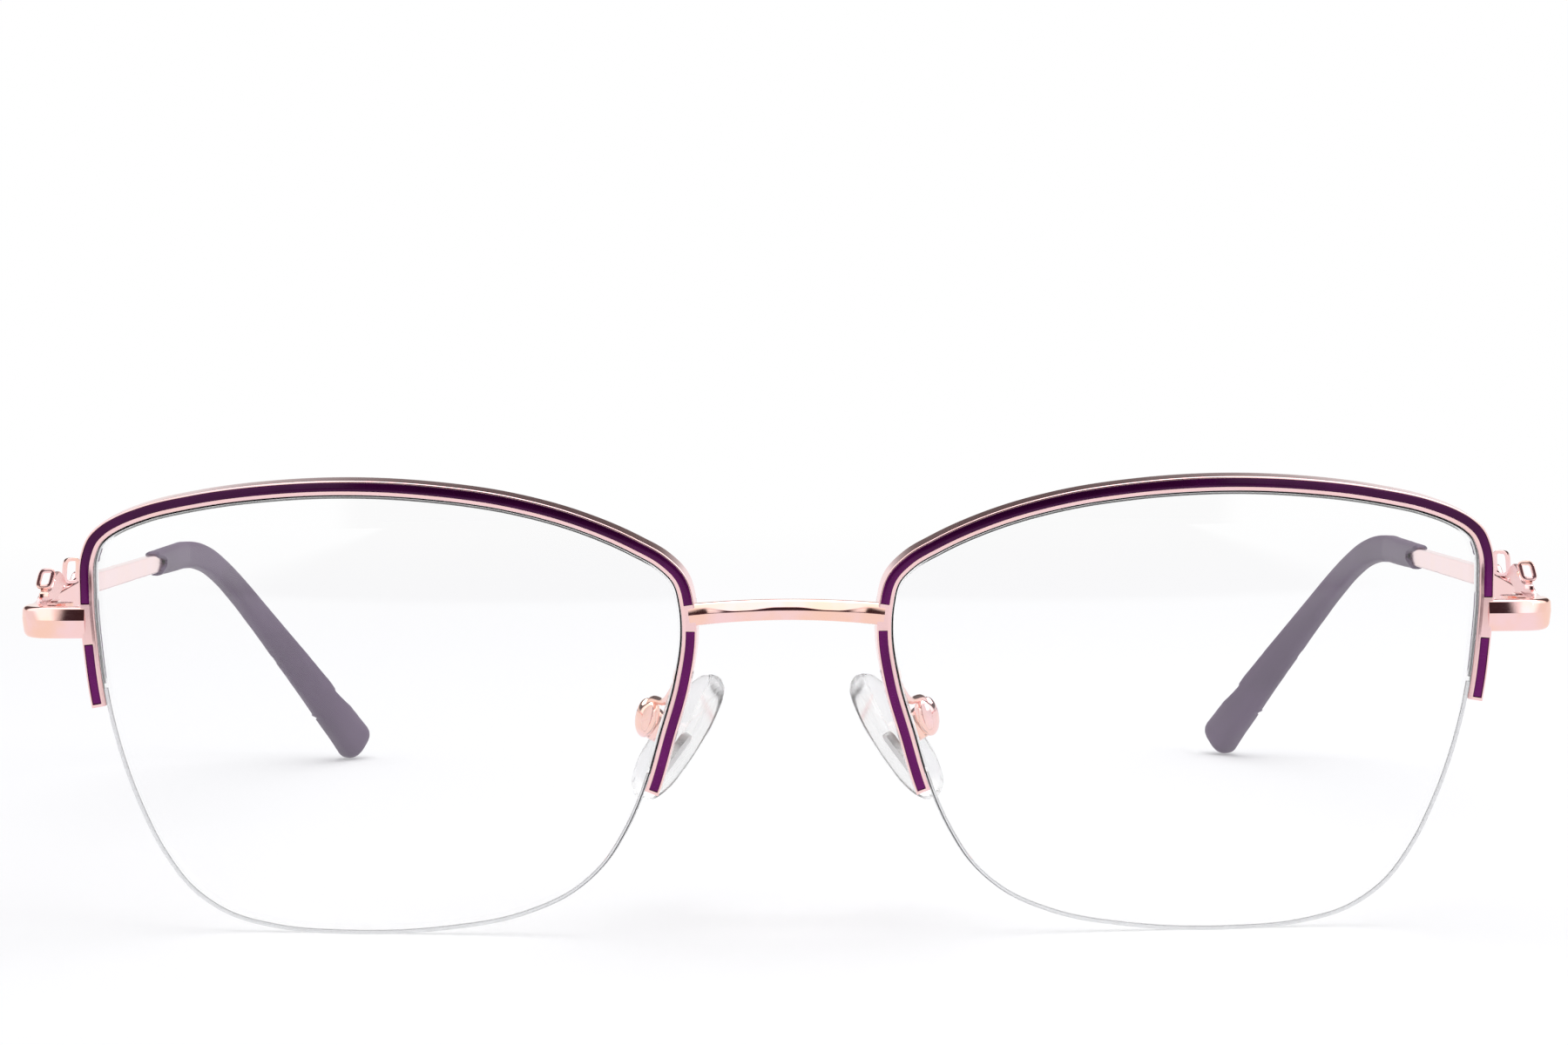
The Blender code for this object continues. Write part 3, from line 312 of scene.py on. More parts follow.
def glass_enamel(name, deep, thin):
    """Translucent enamel: polished metal that glows through the colour, under a clear gloss.

    It is darker where it stands high, as in the photograph. That darkening is painted shade,
    standing in for the dark reflection it shows there.
    """
    finish = Finish(name)
    clouds = finish.noise(420, 4, (1, 1, 0.4), 11)
    grain = finish.noise(9000, 3, None, 5)
    tint = finish.mix(clouds.eased(0.38, 0.70) * 0.85, deep, thin)
    # Painted shade: the colour darkens towards the top, in place of a dark reflection
    high = finish.parts_of(finish.place())[2].eased(*ENAMEL_PAINTED_SHADE)
    tint = finish.mix(high * 0.7, tint, toned(deep, 0.15))
    level = finish.bump(finish.noise(1400, 2, None, 2), 0.2, SOFT_BUMP)
    return finish.close(Base_Color=tint, Metallic=0.70, Roughness=0.20 + 0.12 * grain,
                        Normal=level, Specular_IOR_Level=0.15, Coat_Weight=0.25,
                        Coat_Roughness=0.04)


def clear_lens(name, tone):
    """Polished lens, with the faintest uneven film on its surface."""
    finish = Finish(name)
    film = finish.noise(90, 4, None, 21)
    rough = 0.004 + 0.012 * film.eased(0.45, 0.75)
    tint = finish.mix(film * 0.25, tone, toned(tone, 0.985))
    return finish.close(Base_Color=tint, Roughness=rough, IOR=1.5, Transmission_Weight=1.0,
                        Specular_IOR_Level=0.06)


def frosted_edge(name, tone):
    """Ground edge of a lens: pale and matte, with fine lines round it."""
    finish = Finish(name)
    lines = finish.noise(4200, 3, (0.3, 1, 0.3), 23)
    tint = finish.mix(lines, (0.97, 0.90, 0.90), toned(tone, 0.95))
    return finish.close(Base_Color=tint, Roughness=0.45 + 0.25 * lines,
                        Normal=finish.bump(lines, 0.2))


def clear_nylon(name, tone):
    """Drawn nylon: fine lines along it, slightly cloudy."""
    finish = Finish(name)
    lines = finish.noise(2600, 3, (0.2, 1, 1), 31)
    tint = finish.mix(lines, tone, toned(tone, 0.86))
    return finish.close(Base_Color=tint, Roughness=0.12 + 0.2 * lines, IOR=1.53,
                        Transmission_Weight=0.9, Normal=finish.bump(lines, 0.2))


def soft_pad(name, tone):
    """Clear silicone: a soft skin with faint flow marks."""
    finish = Finish(name)
    flow = finish.noise(330, 4, (1, 1, 0.35), 41)
    skin = finish.noise(6000, 2, None, 43)
    tint = finish.mix(flow.eased(0.4, 0.7), tone, toned(tone, 0.94))
    return finish.close(Base_Color=tint, Roughness=0.10 + 0.16 * flow.eased(0.35, 0.8),
                        IOR=1.41, Transmission_Weight=0.96,
                        Normal=finish.bump(flow * 0.7 + skin * 0.3, 0.12, SOFT_BUMP))


def matte_sleeve(name, tone):
    """Moulded acetate with a matte skin, a drift of tone and a fine grain."""
    finish = Finish(name)
    drift = finish.noise(170, 3, (1, 0.4, 1), 51)
    grain = finish.noise(7500, 4, None, 53)
    tint = finish.mix(drift.eased(0.35, 0.7) * 0.7 + 0.3 * grain, tone, toned(tone, 1.35))
    return finish.close(Base_Color=tint, Roughness=0.46 + 0.14 * grain, IOR=1.48,
                        Normal=finish.bump(grain, 0.22),
                        Coat_Weight=0.06, Coat_Roughness=0.35)


def satin_steel(name, tone):
    """Turned steel with fine rings of tool marks."""
    finish = Finish(name)
    rings = finish.noise(3000, 4, (1, 1, 6), 61)
    tint = finish.mix(rings, tone, toned(tone, 0.85))
    return finish.close(Base_Color=tint, Metallic=1.0, Roughness=0.2 + 0.2 * rings,
                        Normal=finish.bump(rings, 0.3))


def finish_for(slot):
    """The material of a slot, made when it is first asked for."""
    found = bpy.data.materials.get("finish_" + slot)
    if found:
        return found
    tones = bpy.context.scene.eyewear_finish
    gold, pink = tuple(tones.gold), tuple(tones.gold_pink)
    mellow = tuple((a + 3 * b) / 4 for a, b in zip(gold, pink))
    makers = {
        "rose_gold": (polished_gold, gold, pink, 0.06, tones.wear),
        "pink_gold": (polished_gold, pink, mellow, 0.13, tones.wear),
        "satin_gold": (polished_gold, pink, mellow, 0.34, tones.wear),
        "purple_enamel": (glass_enamel, tuple(tones.enamel), tuple(tones.enamel_light)),
        "clear_lens": (clear_lens, tuple(tones.lens)),
        "lens_edge": (frosted_edge, tuple(tones.lens)),
        "clear_nylon": (clear_nylon, tuple(tones.nylon)),
        "clear_pad": (soft_pad, tuple(tones.pad)),
        "purple_sleeve": (matte_sleeve, tuple(tones.sleeve)),
        # Painted shade inside and round the tips' mouths, as a darker copy of the sleeve
        "sleeve_mouth": (matte_sleeve, tuple(tones.sleeve_cut)),
        "steel": (satin_steel, tuple(tones.steel))}
    maker, *values = makers[slot]
    return maker("finish_" + slot, *values)


# Shapes

def smooth_route(points, steps, closed=False):
    """Points on a smooth curve through the given ones, with steps to each span."""
    points = [Vector(point) for point in points]
    count = len(points)
    spans = count if closed else count - 1

    def point(index):
        return points[index % count] if closed else points[min(max(index, 0), count - 1)]

    def slope(index):
        before = point(index) - point(index - 1)
        after = point(index + 1) - point(index)
        if before.length == 0:
            return after / after.length
        if after.length == 0:
            return before / before.length
        return ((before / before.length) * after.length
                + (after / after.length) * before.length) / (before.length + after.length)

    route = []
    for span in range(spans):
        start, end = point(span), point(span + 1)
        reach = (end - start).length
        for step in range(steps):
            t = step / steps
            route.append(start * (2 * t**3 - 3 * t**2 + 1) + end * (3 * t**2 - 2 * t**3)
                         + slope(span) * reach * (t**3 - 2 * t**2 + t)
                         + slope(span + 1) * reach * (t**3 - t**2))
    if not closed:
        route.append(points[-1])
    return route


def rounded(corners, steps=4, most=0.49):
    """An outline with each corner (x, y, radius) replaced by an arc."""
    outline = []
    count = len(corners)
    for index, (x, y, radius) in enumerate(corners):
        corner = Vector((x, y))
        before = Vector(corners[index - 1][:2]) - corner
        after = Vector(corners[(index + 1) % count][:2]) - corner
        if radius == 0:
            outline.append(corner)
            continue
        half = before.angle(after) / 2
        cut = min(radius / math.tan(half), before.length * most, after.length * most)
        first, last = corner + before.normalized() * cut, corner + after.normalized() * cut
        for step in range(steps + 1):
            t = step / steps
            outline.append(first * (1 - t)**2 + corner * 2 * t * (1 - t) + last * t**2)
    return outline


def rounded_box(x, y, radius, steps=4):
    """A box with rounded corners, of these half sizes."""
    return rounded([(x, -y, radius), (x, y, radius), (-x, y, radius), (-x, -y, radius)], steps)


def around(count, offset=0):
    """Cosine and sine of so many even steps round a circle."""
    angles = [2 * math.pi * (index + offset) / count for index in range(count)]
    return [(math.cos(angle), math.sin(angle)) for angle in angles]


def oval(width, height, sides, power=0.75, offset=0.5):
    """An oval that is squarer for a lower power."""
    return [Vector((width / 2 * math.copysign(abs(across)**power, across),
                    height / 2 * math.copysign(abs(up)**power, up)))
            for across, up in around(sides, offset)]


def eased(value, start, end):
    """Rises smoothly from 0 to 1 between two values."""
    part = min(max((value - start) / (end - start), 0), 1)
    return part * part * (3 - 2 * part)


def headings(route):
    """The direction of travel at each point of an open route."""
    last = len(route) - 1
    return [(route[min(index + 1, last)] - route[max(index - 1, 0)]).normalized()
            for index in range(len(route))]


def rings_of(route, sections):
    """A section of its own, given as (sideways, upwards), at each point of an open route."""
    rings = []
    for place, ahead, section in zip(route, headings(route), sections):
        side = ahead.cross(UP).normalized()
        top = side.cross(ahead)
        rings.append([place + side * a + top * b for a, b in section])
    return rings


def rings_along(route, section, scales=None):
    """The same section all along, in the given scales."""
    scales = scales or [1] * len(route)
    return rings_of(route, [[(a * scale, b * scale) for a, b in section] for scale in scales])


def round_ends(rings, reach, steps=3):
    """Adds shrinking rings beyond both ends of a row of rings, for rounded caps."""

    def cap(ring, outwards):
        middle = sum(ring, Vector()) / len(ring)
        radius = min((point - middle).length for point in ring)
        rows = []
        for step in range(1, steps + 1):
            angle = QUARTER * step / steps
            shrink = 1 - min(reach / radius, 0.9) * (1 - math.cos(angle))
            shift = outwards * reach * math.sin(angle)
            rows.append([middle + (point - middle) * shrink + shift for point in ring])
        return rows

    first = (sum(rings[0], Vector()) - sum(rings[1], Vector())).normalized()
    last = (sum(rings[-1], Vector()) - sum(rings[-2], Vector())).normalized()
    return cap(rings[0], first)[::-1] + rings + cap(rings[-1], last)


def shifted(row):
    return row[1:] + row[:1]


def skin(body, rings, closed=False):
    """Adds the rings' vertices and a band of faces from each ring to the next."""
    rows = [[body.verts.new(point) for point in ring] for ring in rings]
    bands = [[body.faces.new(corners) for corners in zip(row, shifted(row), shifted(after), after)]
             for row, after in zip(rows, rows[1:] + rows[:int(closed)])]
    return rows, bands


def paint(bands):
    """Gives the faces of these bands the object's second material."""
    for band in bands:
        for face in band:
            face.material_index = 1


def loft(name, rings, closed=False, sharp=32, painted=0):
    """A mesh object that joins rings of equal count, capped at its ends unless it is closed.

    So many of its first bands, and the cap before them, get the object's second material.
    """
    body = bmesh.new()
    rows, bands = skin(body, rings, closed)
    if not closed:
        bands[0].append(body.faces.new(rows[0]))
        body.faces.new(rows[-1])
    paint(bands[:painted])
    return finish_mesh(name, body, sharp)


def finish_mesh(name, body, sharp=32):
    """Turns a bmesh into an object whose edges are sharp above so many degrees."""
    bmesh.ops.recalc_face_normals(body, faces=body.faces)
    mesh = bpy.data.meshes.new(name)
    body.to_mesh(mesh)
    body.free()
    mesh.shade_smooth()
    mesh.set_sharp_from_angle(angle=math.radians(sharp))
    item = bpy.data.objects.new(name, mesh)
    bpy.context.scene.collection.objects.link(item)
    shading = item.modifiers.new("even shading", 'WEIGHTED_NORMAL')
    shading.keep_sharp = True
    return item


def sides_of(rings, side):
    """The rings as they are, or mirrored for the left."""
    if side > 0:
        return rings
    return [[Vector((-point.x, point.y, point.z)) for point in ring] for ring in rings]


def coat(item, *finishes):
    item.data.materials.clear()
    for finish in finishes:
        item.data.materials.append(finish_for(finish))


def dress(item, body, slot, *nodes, material=None, second=None):
    """Gives a piece its finishes and its body, and hides the solids that it stands for."""
    coat(item, material or slot, *([second] if second else []))
    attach(item, body)
    if nodes:
        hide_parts(*nodes)


def pair(name, rings, body, slot, *nodes, material=None, second=None, **shape):
    """A right piece and its mirrored left one. In every name, {} stands for the side."""
    for which, side in SIDES:
        item = loft(name.format(which), sides_of(rings, side), **shape)
        dress(item, body.format(which), slot, *[node.format(which) for node in nodes],
              material=material, second=second)


def carry(node, slot):
    """The solids of both sides, shown as they are, with a finish and softened edges."""
    for which, _ in SIDES:
        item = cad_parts[node.format(which)]
        coat(item, slot)
        edges = item.modifiers.new("softened edges", 'BEVEL')
        edges.width = SOFT_EDGE
        edges.segments = 2
        edges.limit_method = 'ANGLE'
        edges.angle_limit = math.radians(40)
        edges.harden_normals = False


# Where things are

class Front:
    """The right lens's plane and edge: X towards the temple, Y up, Z forward."""

    def __init__(self):
        self.sizes = bpy.context.scene.eyewear_front
        width, height = self.sizes.lens_width / 2, self.sizes.lens_height / 2
        places = [(x * width, y * height, 0) for x, y in LENS_EDGE_SHARES]
        self.edge, coarse = ([place.xy for place in smooth_route(places, steps, closed=True)]
                             for steps in (EDGE_STEPS, 2))
        turn = (Matrix.Rotation(self.sizes.lean, 4, 'X') @ Matrix.Rotation(self.sizes.wrap, 4, 'Z')
                @ Matrix.Rotation(QUARTER, 4, 'X'))
        corners = [turn @ Vector((*place, -self.sag(place))) for place in coarse]
        lowest = min(corners, key=lambda corner: corner.z)
        middle = self.sizes.lens_gap / 2 - min(corner.x for corner in corners)
        self.matrix = Matrix.Translation((middle, self.sizes.stand_y - lowest.y,
                                          -lowest.z)) @ turn
        self.nose, self.temple = (self.surface(Vector((x * width, y * height))) for x, y in
                                  (min(LENS_EDGE_SHARES), max(LENS_EDGE_SHARES)))

    def sag(self, place):
        curve = self.sizes.base_curve
        return curve - math.sqrt(curve**2 - place.x**2 - place.y**2)

    def level(self, place):
        """Height of the lens's middle surface."""
        return -self.sizes.lens_thickness / 2 - self.sag(place)

    def surface(self, place, rise=0):
        """A point over the lens's middle surface, in the world."""
        return self.matrix @ Vector((place.x, place.y, self.level(place) + rise))

    def station(self, span):
        """Edge place, outward direction and height of the lens's middle surface at a span."""
        place = (RIM_START + span) * EDGE_STEPS
        count = len(self.edge)
        index = math.floor(place)
        ring = [self.edge[(index + step) % count] for step in range(-1, 3)]
        part = place - index
        edge = ring[1].lerp(ring[2], part)
        spans = [(ring[step + 1] - ring[step]).normalized() for step in range(3)]
        along = (spans[0] + spans[1]).lerp(spans[1] + spans[2], part).normalized()
        return edge, Vector((along.y, -along.x)), self.level(edge)

    def ring(self, span, section):
        """A section (outwards, forwards) at a span of the edge, in the world."""
        edge, outwards, level = self.station(span)
        places = [edge + outwards * out for out, forward in section]
        return [self.matrix @ Vector((place.x, place.y, level + forward))
                for place, (out, forward) in zip(places, section)]

    def spans_between(self, first, last):
        """Spans from first to last, in even steps of the edge curve."""
        start, end = (RIM_START + first) * EDGE_STEPS, (RIM_START + last) * EDGE_STEPS
        places = [start, *range(math.floor(start) + 1, math.ceil(end)), end]
        return [place / EDGE_STEPS - RIM_START for place in places]


def bar_z(y):
    """Height of the bar's middle, from the lens's temple side."""
    if y > CREST_Y:
        return CREST_Z - math.tan(DROP) * (y - CREST_Y)
    return HINGE_Z + (CREST_Z - HINGE_Z) * eased(y, HINGE_Y, CREST_Y)


def bar_x(y):
    """How far outwards the bar's middle is, from the lens's temple side."""
    return BAR_FRONT_X + (BAR_X - BAR_FRONT_X) * eased(y, 0.0076, 0.0176)


def bend_route(front, foot, steps):
    """The tip's middle line, from the bend's start down to a foot above the table."""
    top = bar_z(BEND_Y)
    drop = top - (foot - front.temple.z)
    places = [Vector((BAR_X + (TIP_X - BAR_X) * inwards, BEND_Y + (TIP_Y - BEND_Y) * back,
                      top - drop * down)) for inwards, back, down in BEND_SHARES]
    return smooth_route(places, steps)


def rim_outline(sizes, depth):
    """The rim's section, outwards and forwards, with a front channel of the given depth."""
    x, y = sizes.rim_width / 2, sizes.rim_depth / 2
    channel_out = x - sizes.channel_lip
    channel_in = channel_out - sizes.channel_width
    slot = SLOT_WIDTH / 2
    corners = [(x, -y, 0.00022), (x, y - 0.00004, 0.00012), (channel_out, y, 0.00002),
               (channel_out, y - depth, 0), (channel_in, y - depth, 0), (channel_in, y, 0.00003),
               (-x, y - 0.00009, 0.00014), (-x, slot, 0.00004), (SLOT_DEPTH - x, slot, 0),
               (SLOT_DEPTH - x, -slot, 0), (-x, -slot, 0.00004), (-x, -y, 0.00022)]
    outline = rounded(corners)
    offset = FIT_GAP + x
    return [(point.x + offset, point.y) for point in outline]


class EYEWEAR_OT_rims(bpy.types.Operator):
    """Half rims, with a channel for each enamel inlay"""
    bl_idname = "eyewear.rims"
    bl_label = "Rims"

    def execute(self, context):
        front = Front()
        sizes = front.sizes
        deep, flat = (rim_outline(sizes, depth) for depth in (sizes.channel_depth, FLAT_CHANNEL))
        marks = [0, RIM_SPANS]
        for first, last in ENAMEL_SPANS.values():
            marks += [first - CHANNEL_END, first, last, last + CHANNEL_END]
        rings = []
        for span in sorted(set(front.spans_between(0, RIM_SPANS) + marks)):
            inlaid = any(first - 1e-6 <= span <= last + 1e-6
                         for first, last in ENAMEL_SPANS.values())
            rings.append(front.ring(span, deep if inlaid else flat))
        pair("rim_wire_{}", rings, "front", "rose_gold", "rim_{}", material="pink_gold", sharp=38)
        return {'FINISHED'}


class EYEWEAR_OT_enamel(bpy.types.Operator):
    """Crowned enamel inlays in the rims"""
    bl_idname = "eyewear.enamel"
    bl_label = "Enamel inlays"

    def execute(self, context):
        front = Front()
        sizes = front.sizes
        half = (sizes.channel_width - FIT_GAP / 2) / 2
        middle = FIT_GAP + sizes.rim_width - sizes.channel_lip - sizes.channel_width / 2
        bed = 0.00003
        floor = sizes.rim_depth / 2 - sizes.channel_depth + bed
        top = sizes.rim_depth / 2
        crown, slope = sizes.enamel_crown, math.tan(math.radians(8))
        section = [(half, floor)]
        for step in range(9):
            out = half * math.cos(math.pi * step / 8)
            rise = crown * (math.sin(math.pi * step / 8)**0.7 - 1)
            section.append((out, top + rise - slope * out))
        section.append((-half, floor))
        for part, (first, last) in ENAMEL_SPANS.items():
            rings = [front.ring(span, [(middle + out, forward) for out, forward in section])
                     for span in front.spans_between(first, last)]
            pair("enamel_inlay_" + part + "_{}", rings, "front", "purple_enamel",
                 "enamel_" + part + "_{}", sharp=60)
        return {'FINISHED'}


class EYEWEAR_OT_lenses(bpy.types.Operator):
    """Curved lenses with a ground, grooved edge, and the nylon that holds them"""
    bl_idname = "eyewear.lenses"
    bl_label = "Lenses"
    steps = 14

    def execute(self, context):
        front = Front()
        thick = front.sizes.lens_thickness
        groove, depth, chamfer = 0.00031, 0.0004, 0.00012
        wall = [(0, thick / 2 - chamfer), (0, groove), (-depth, groove * 0.8),
                (-depth, -groove * 0.8), (0, -groove), (0, chamfer - thick / 2)]
        spans = front.spans_between(0, len(LENS_EDGE_SHARES))[:-1]
        edges = [front.station(span) for span in spans]
        reaches = [math.sin(QUARTER * (step + 1) / self.steps) for step in range(self.steps)]
        ahead, behind = ([[front.surface((edge - out * chamfer) * reach, rise)
                           for edge, out, level in edges] for reach in reaches]
                         for rise in (thick / 2, -thick / 2))
        between = [[front.matrix @ Vector((*(edge + out * a), level + b))
                    for edge, out, level in edges] for a, b in wall]
        rings = ahead + between + behind[::-1]
        for name, side in SIDES:
            item = self.disc("lens_blank_" + name, sides_of(rings, side), front, side, thick)
            item.visible_shadow = False
            dress(item, "front", "clear_lens", "lens_" + name, second="lens_edge")
        self.nylon(front)
        return {'FINISHED'}

    def disc(self, name, rings, front, side, thick):
        body = bmesh.new()
        rows, bands = skin(body, rings)
        paint(bands[self.steps - 1:1 - self.steps])
        for row, rise in ((rows[0], thick / 2), (rows[-1], -thick / 2)):
            middle = front.surface(Vector((0, 0)), rise)
            middle.x *= side
            hub = body.verts.new(middle)
            for first, last in zip(row, shifted(row)):
                body.faces.new((first, last, hub))
        return finish_mesh(name, body, 30)

    @staticmethod
    def nylon(front):
        """The line round the lens's lower half, and the strip in the rim's inner groove."""
        radius, sink, tuck, strip_end = front.sizes.nylon_radius, 0.00016, 0.3, 0.4
        section = [(radius * across - sink, radius * up) for across, up in around(12)]
        line = [front.ring(span, section) for span in
                front.spans_between(RIM_SPANS - tuck, len(LENS_EDGE_SHARES) + tuck)]
        base, rib, rib_reach = SLOT_WIDTH / 2 - FIT_GAP, 0.00021, 0.0003
        section = [(SLOT_DEPTH, -base), (SLOT_DEPTH, base), (FIT_GAP, base), (FIT_GAP, rib),
                   (-rib_reach, rib / 2), (-rib_reach, -rib / 2), (FIT_GAP, -rib),
                   (FIT_GAP, -base)]
        strip = [front.ring(span, section) for span in
                 front.spans_between(strip_end, RIM_SPANS - strip_end)]
        pair("nylon_thread_{}", line, "front", "clear_nylon", "nylon_line_{}", sharp=60)
        pair("groove_strip_{}", strip, "front", "clear_nylon", "rim_liner_{}")


class EYEWEAR_OT_bridge(bpy.types.Operator):
    """Ridged bridge bar, arched and bowed a little"""
    bl_idname = "eyewear.bridge"
    bl_label = "Bridge"

    def execute(self, context):
        front = Front()
        end = front.nose + Vector((-0.00066, -0.0005, 0.00143))
        steps, bow, arch, waist = 40, 0.0006, 0.0005, 0.07
        route, sections = [], []
        for step in range(-steps, steps + 1):
            out = step / steps
            rise = 1 - out**2
            route.append(Vector((end.x * out, end.y - bow * rise, end.z + arch * rise)))
            soft = (0.00035 + 0.0016 * eased(abs(out), 0.5, 0.95)
                    + 0.0006 * eased(0.4 - abs(out), 0, 0.3))
            sections.append([point * (1 - waist * rise) for point in self.section(soft)])
        item = loft("bridge_bar", rings_of(route, sections), sharp=50)
        dress(item, "front", "rose_gold", "bridge")
        return {'FINISHED'}

    @staticmethod
    def section(soft):
        """The bar's section, its front ridge rounded by so much."""
        height, depth, ridge = 0.0010, 0.0008, 0.0003
        return rounded([(depth - 0.00025, -height, 0.0003), (depth + ridge, -0.00005, soft),
                        (depth - 0.00022, height, 0.0004), (-depth, height, 0.0004),
                        (-depth, -height, 0.0004)], 8, 0.78)


class EYEWEAR_OT_endpieces(bpy.types.Operator):
    """Ridged lugs that turn the corner from the rims to the temples"""
    bl_idname = "eyewear.endpieces"
    bl_label = "Endpieces"

    def execute(self, context):
        front = Front()
        inner, outer, front_y, butt = 0.00095, 0.00615, -0.0002, 0.0028
        turn, bow = 0.0016, 0.00042
        places = []
        for step in range(11):
            part = step / 10
            places.append((inner + (outer - turn - inner) * part,
                           front_y + bow * part**2 * 0.5))
        last_y = places[-1][1]
        slope = math.atan2(bow, outer - turn - inner)
        for step in range(1, 13):
            angle = slope + (QUARTER - slope) * step / 12
            places.append((outer - turn * (1 - math.sin(angle)) / (1 - math.sin(slope)),
                           last_y + turn * (math.cos(slope) - math.cos(angle))))
        places.append((outer, butt))
        route = [front.temple + Vector((x, y, HINGE_Z)) for x, y in places]
        rings = rings_of(route, [self.section(eased(index, 8, 18)) for index in range(len(route))])
        pair("lug_{}", rings, "front", "rose_gold", "endpiece_{}", sharp=30)
        return {'FINISHED'}

    @staticmethod
    def section(turned):
        """The lug's section, whose ridge fades as it turns the corner."""
        height, half = 0.00145, 0.0008
        ridge = 0.00032 - 0.00027 * turned
        return rounded([(half - 0.00014, -height, 0.0008), (half + ridge, 0.00027, 0.0001),
                        (half, height, 0.00026 + 0.0003 * turned), (-half, height, 0.0003),
                        (-half, -height, 0.0003)], 6)


class EYEWEAR_OT_temples(bpy.types.Operator):
    """Temple bars, each with a scalloped plate and open petals"""
    bl_idname = "eyewear.temples"
    bl_label = "Temples"

    def execute(self, context):
        front = Front()
        sizes = context.scene.eyewear_temple
        section = rounded_box(sizes.bar_thickness / 2, sizes.bar_height / 2, 0.00022)
        bar_start, shaped_end, into_sleeve = 0.00288, 0.0300, 0.011
        ys = [bar_start + 0.0006 * step for step in range(44)]
        ys += [shaped_end + (SLEEVE_Y + into_sleeve - shaped_end) * step / 12
               for step in range(13)]
        route = [front.temple + Vector((bar_x(y), y, bar_z(y))) for y in ys]
        stouter = 0.45
        scales = [1 + stouter * (1 - eased(y, 0.0028, 0.0276)) for y in ys]
        rings = round_ends(rings_along(route, section, scales), 0.00012)
        pair("temple_bar_{}", rings, "{}_temple", "rose_gold", "temple_{}", material="pink_gold")
        self.ornament(front, sizes)
        return {'FINISHED'}

    @staticmethod
    def ornament(front, sizes):
        """The scalloped plate that stands on the bar, its petals, their foot and the studs."""
        start, end = (Vector((bar_x(y), y)) for y in (ORNAMENT_START, ORNAMENT_END))
        along = (end - start).normalized()
        shares = ((0.00, 0.10), (0.02, 0.42), (0.06, 0.53), (0.14, 0.56), (0.23, 0.60),
                  (0.31, 0.86), (0.39, 1.00), (0.47, 0.92), (0.57, 0.61), (0.70, 0.61),
                  (0.80, 0.84), (0.88, 0.72), (1.00, 0.30))
        crest = smooth_route([(part * ORNAMENT_LENGTH, up * ORNAMENT_HEIGHT, 0)
                              for part, up in shares], 5)
        ahead = along.to_3d()
        side_way = ahead.cross(UP)
        origin = front.temple + Vector((start.x, start.y, ORNAMENT_BASE))
        half = sizes.ornament_thickness / 2
        edge = 0.0001
        section = [(half, 0), (half, 1), (half - edge, 2),
                   (edge - half, 2), (-half, 1), (-half, 0)]
        rings = []
        for place in crest:
            levels = (0, place.y - edge, place.y)
            rings.append([origin + ahead * place.x + side_way * across
                          + UP * levels[level] for across, level in section])
        petals, petal_inset = [], 0.00045
        for y, z, wide, tall, lean, band, turned in (
                (0.0047, 0.00078, 0.00152, 0.0019, 0.26, 0.00040, 68),
                (0.0130, 0.00082, 0.00162, 0.0024, 0.08, 0.00030, 52)):
            flat = Matrix.Rotation(math.radians(turned), 3, 'Z') @ ahead
            x = (start + along * (y - ORNAMENT_START)).x - petal_inset
            middle = front.temple + Vector((x, y, z))
            petals.append(petal_rings(middle, flat, wide, tall, lean, band))
        foot_across = petals[0][0][0] - petals[0][len(petals[0]) // 2][0]
        foot_across = foot_across.xy.to_3d().normalized()
        foot_middle = sum((ring[0] for ring in petals[0]), Vector()) / len(petals[0])
        foot_out = foot_across.cross(UP)
        foot_back = 0.00018
        foot = [[Vector((foot_middle.x, foot_middle.y, front.temple.z + level))
                 + foot_across * (a * size - foot_back) + foot_out * b * size
                 for a, b in rounded_box(0.0004, 0.00022, 0.0001)]
                for level, size in ((-0.0009, 1.2), (-0.00055, 1.1), (-0.00045, 0.8),
                                    (-0.00025, 0.8), (-0.00005, 1))]
        pair("ornament_plate_{}", rings, "{}_temple", "rose_gold", material="satin_gold", sharp=30)
        pair("petal_foot_{}", foot, "{}_temple", "rose_gold")
        for index, ring in enumerate(petals, 1):
            pair("petal_%d_{}" % index, ring, "{}_temple", "rose_gold", closed=True, sharp=30)
        stud_base, stud_reach = 0.0009, half * 1.6
        studs = [(0.30, 0.0017, 0.00026), (0.50, 0.0009, 0.0002), (0.72, 0.0008, 0.0002)]
        for index, (part, up, radius) in enumerate(studs, 1):
            middle = origin + ahead * part * ORNAMENT_LENGTH + UP * (up + stud_base)
            rows = [[middle + side_way * stud_reach * level + (ahead * a + UP * b) * radius * size
                     for a, b in around(16)]
                    for level, size in ((-1, 0.35), (-0.92, 0.75), (-0.7, 1), (0.7, 1),
                                        (0.92, 0.75), (1, 0.35))]
            pair("stud_%d_{}" % index, rows, "{}_temple", "rose_gold")


def petal_rings(centre, flat, wide, tall, lean, band):
    """Sections round an open petal, a rounded slanted frame whose top leans in."""
    thick, edge, count = 0.00055, 0.00005, 56
    out = flat.cross(UP)
    section = rounded_box(band / 2, thick / 2, edge, 3)
    frame_line = [Vector((point.x + lean * point.y, point.y))
                  for point in oval(wide - band, tall - band, count, 0.5, 0)]
    rings = []
    for index, place in enumerate(frame_line):
        along = (frame_line[(index + 1) % count] - frame_line[index - 1]).normalized()
        outwards = flat * along.y - UP * along.x
        middle = centre + flat * place.x + UP * place.y
        rings.append([middle + outwards * a + out * b for a, b in section])
    return rings


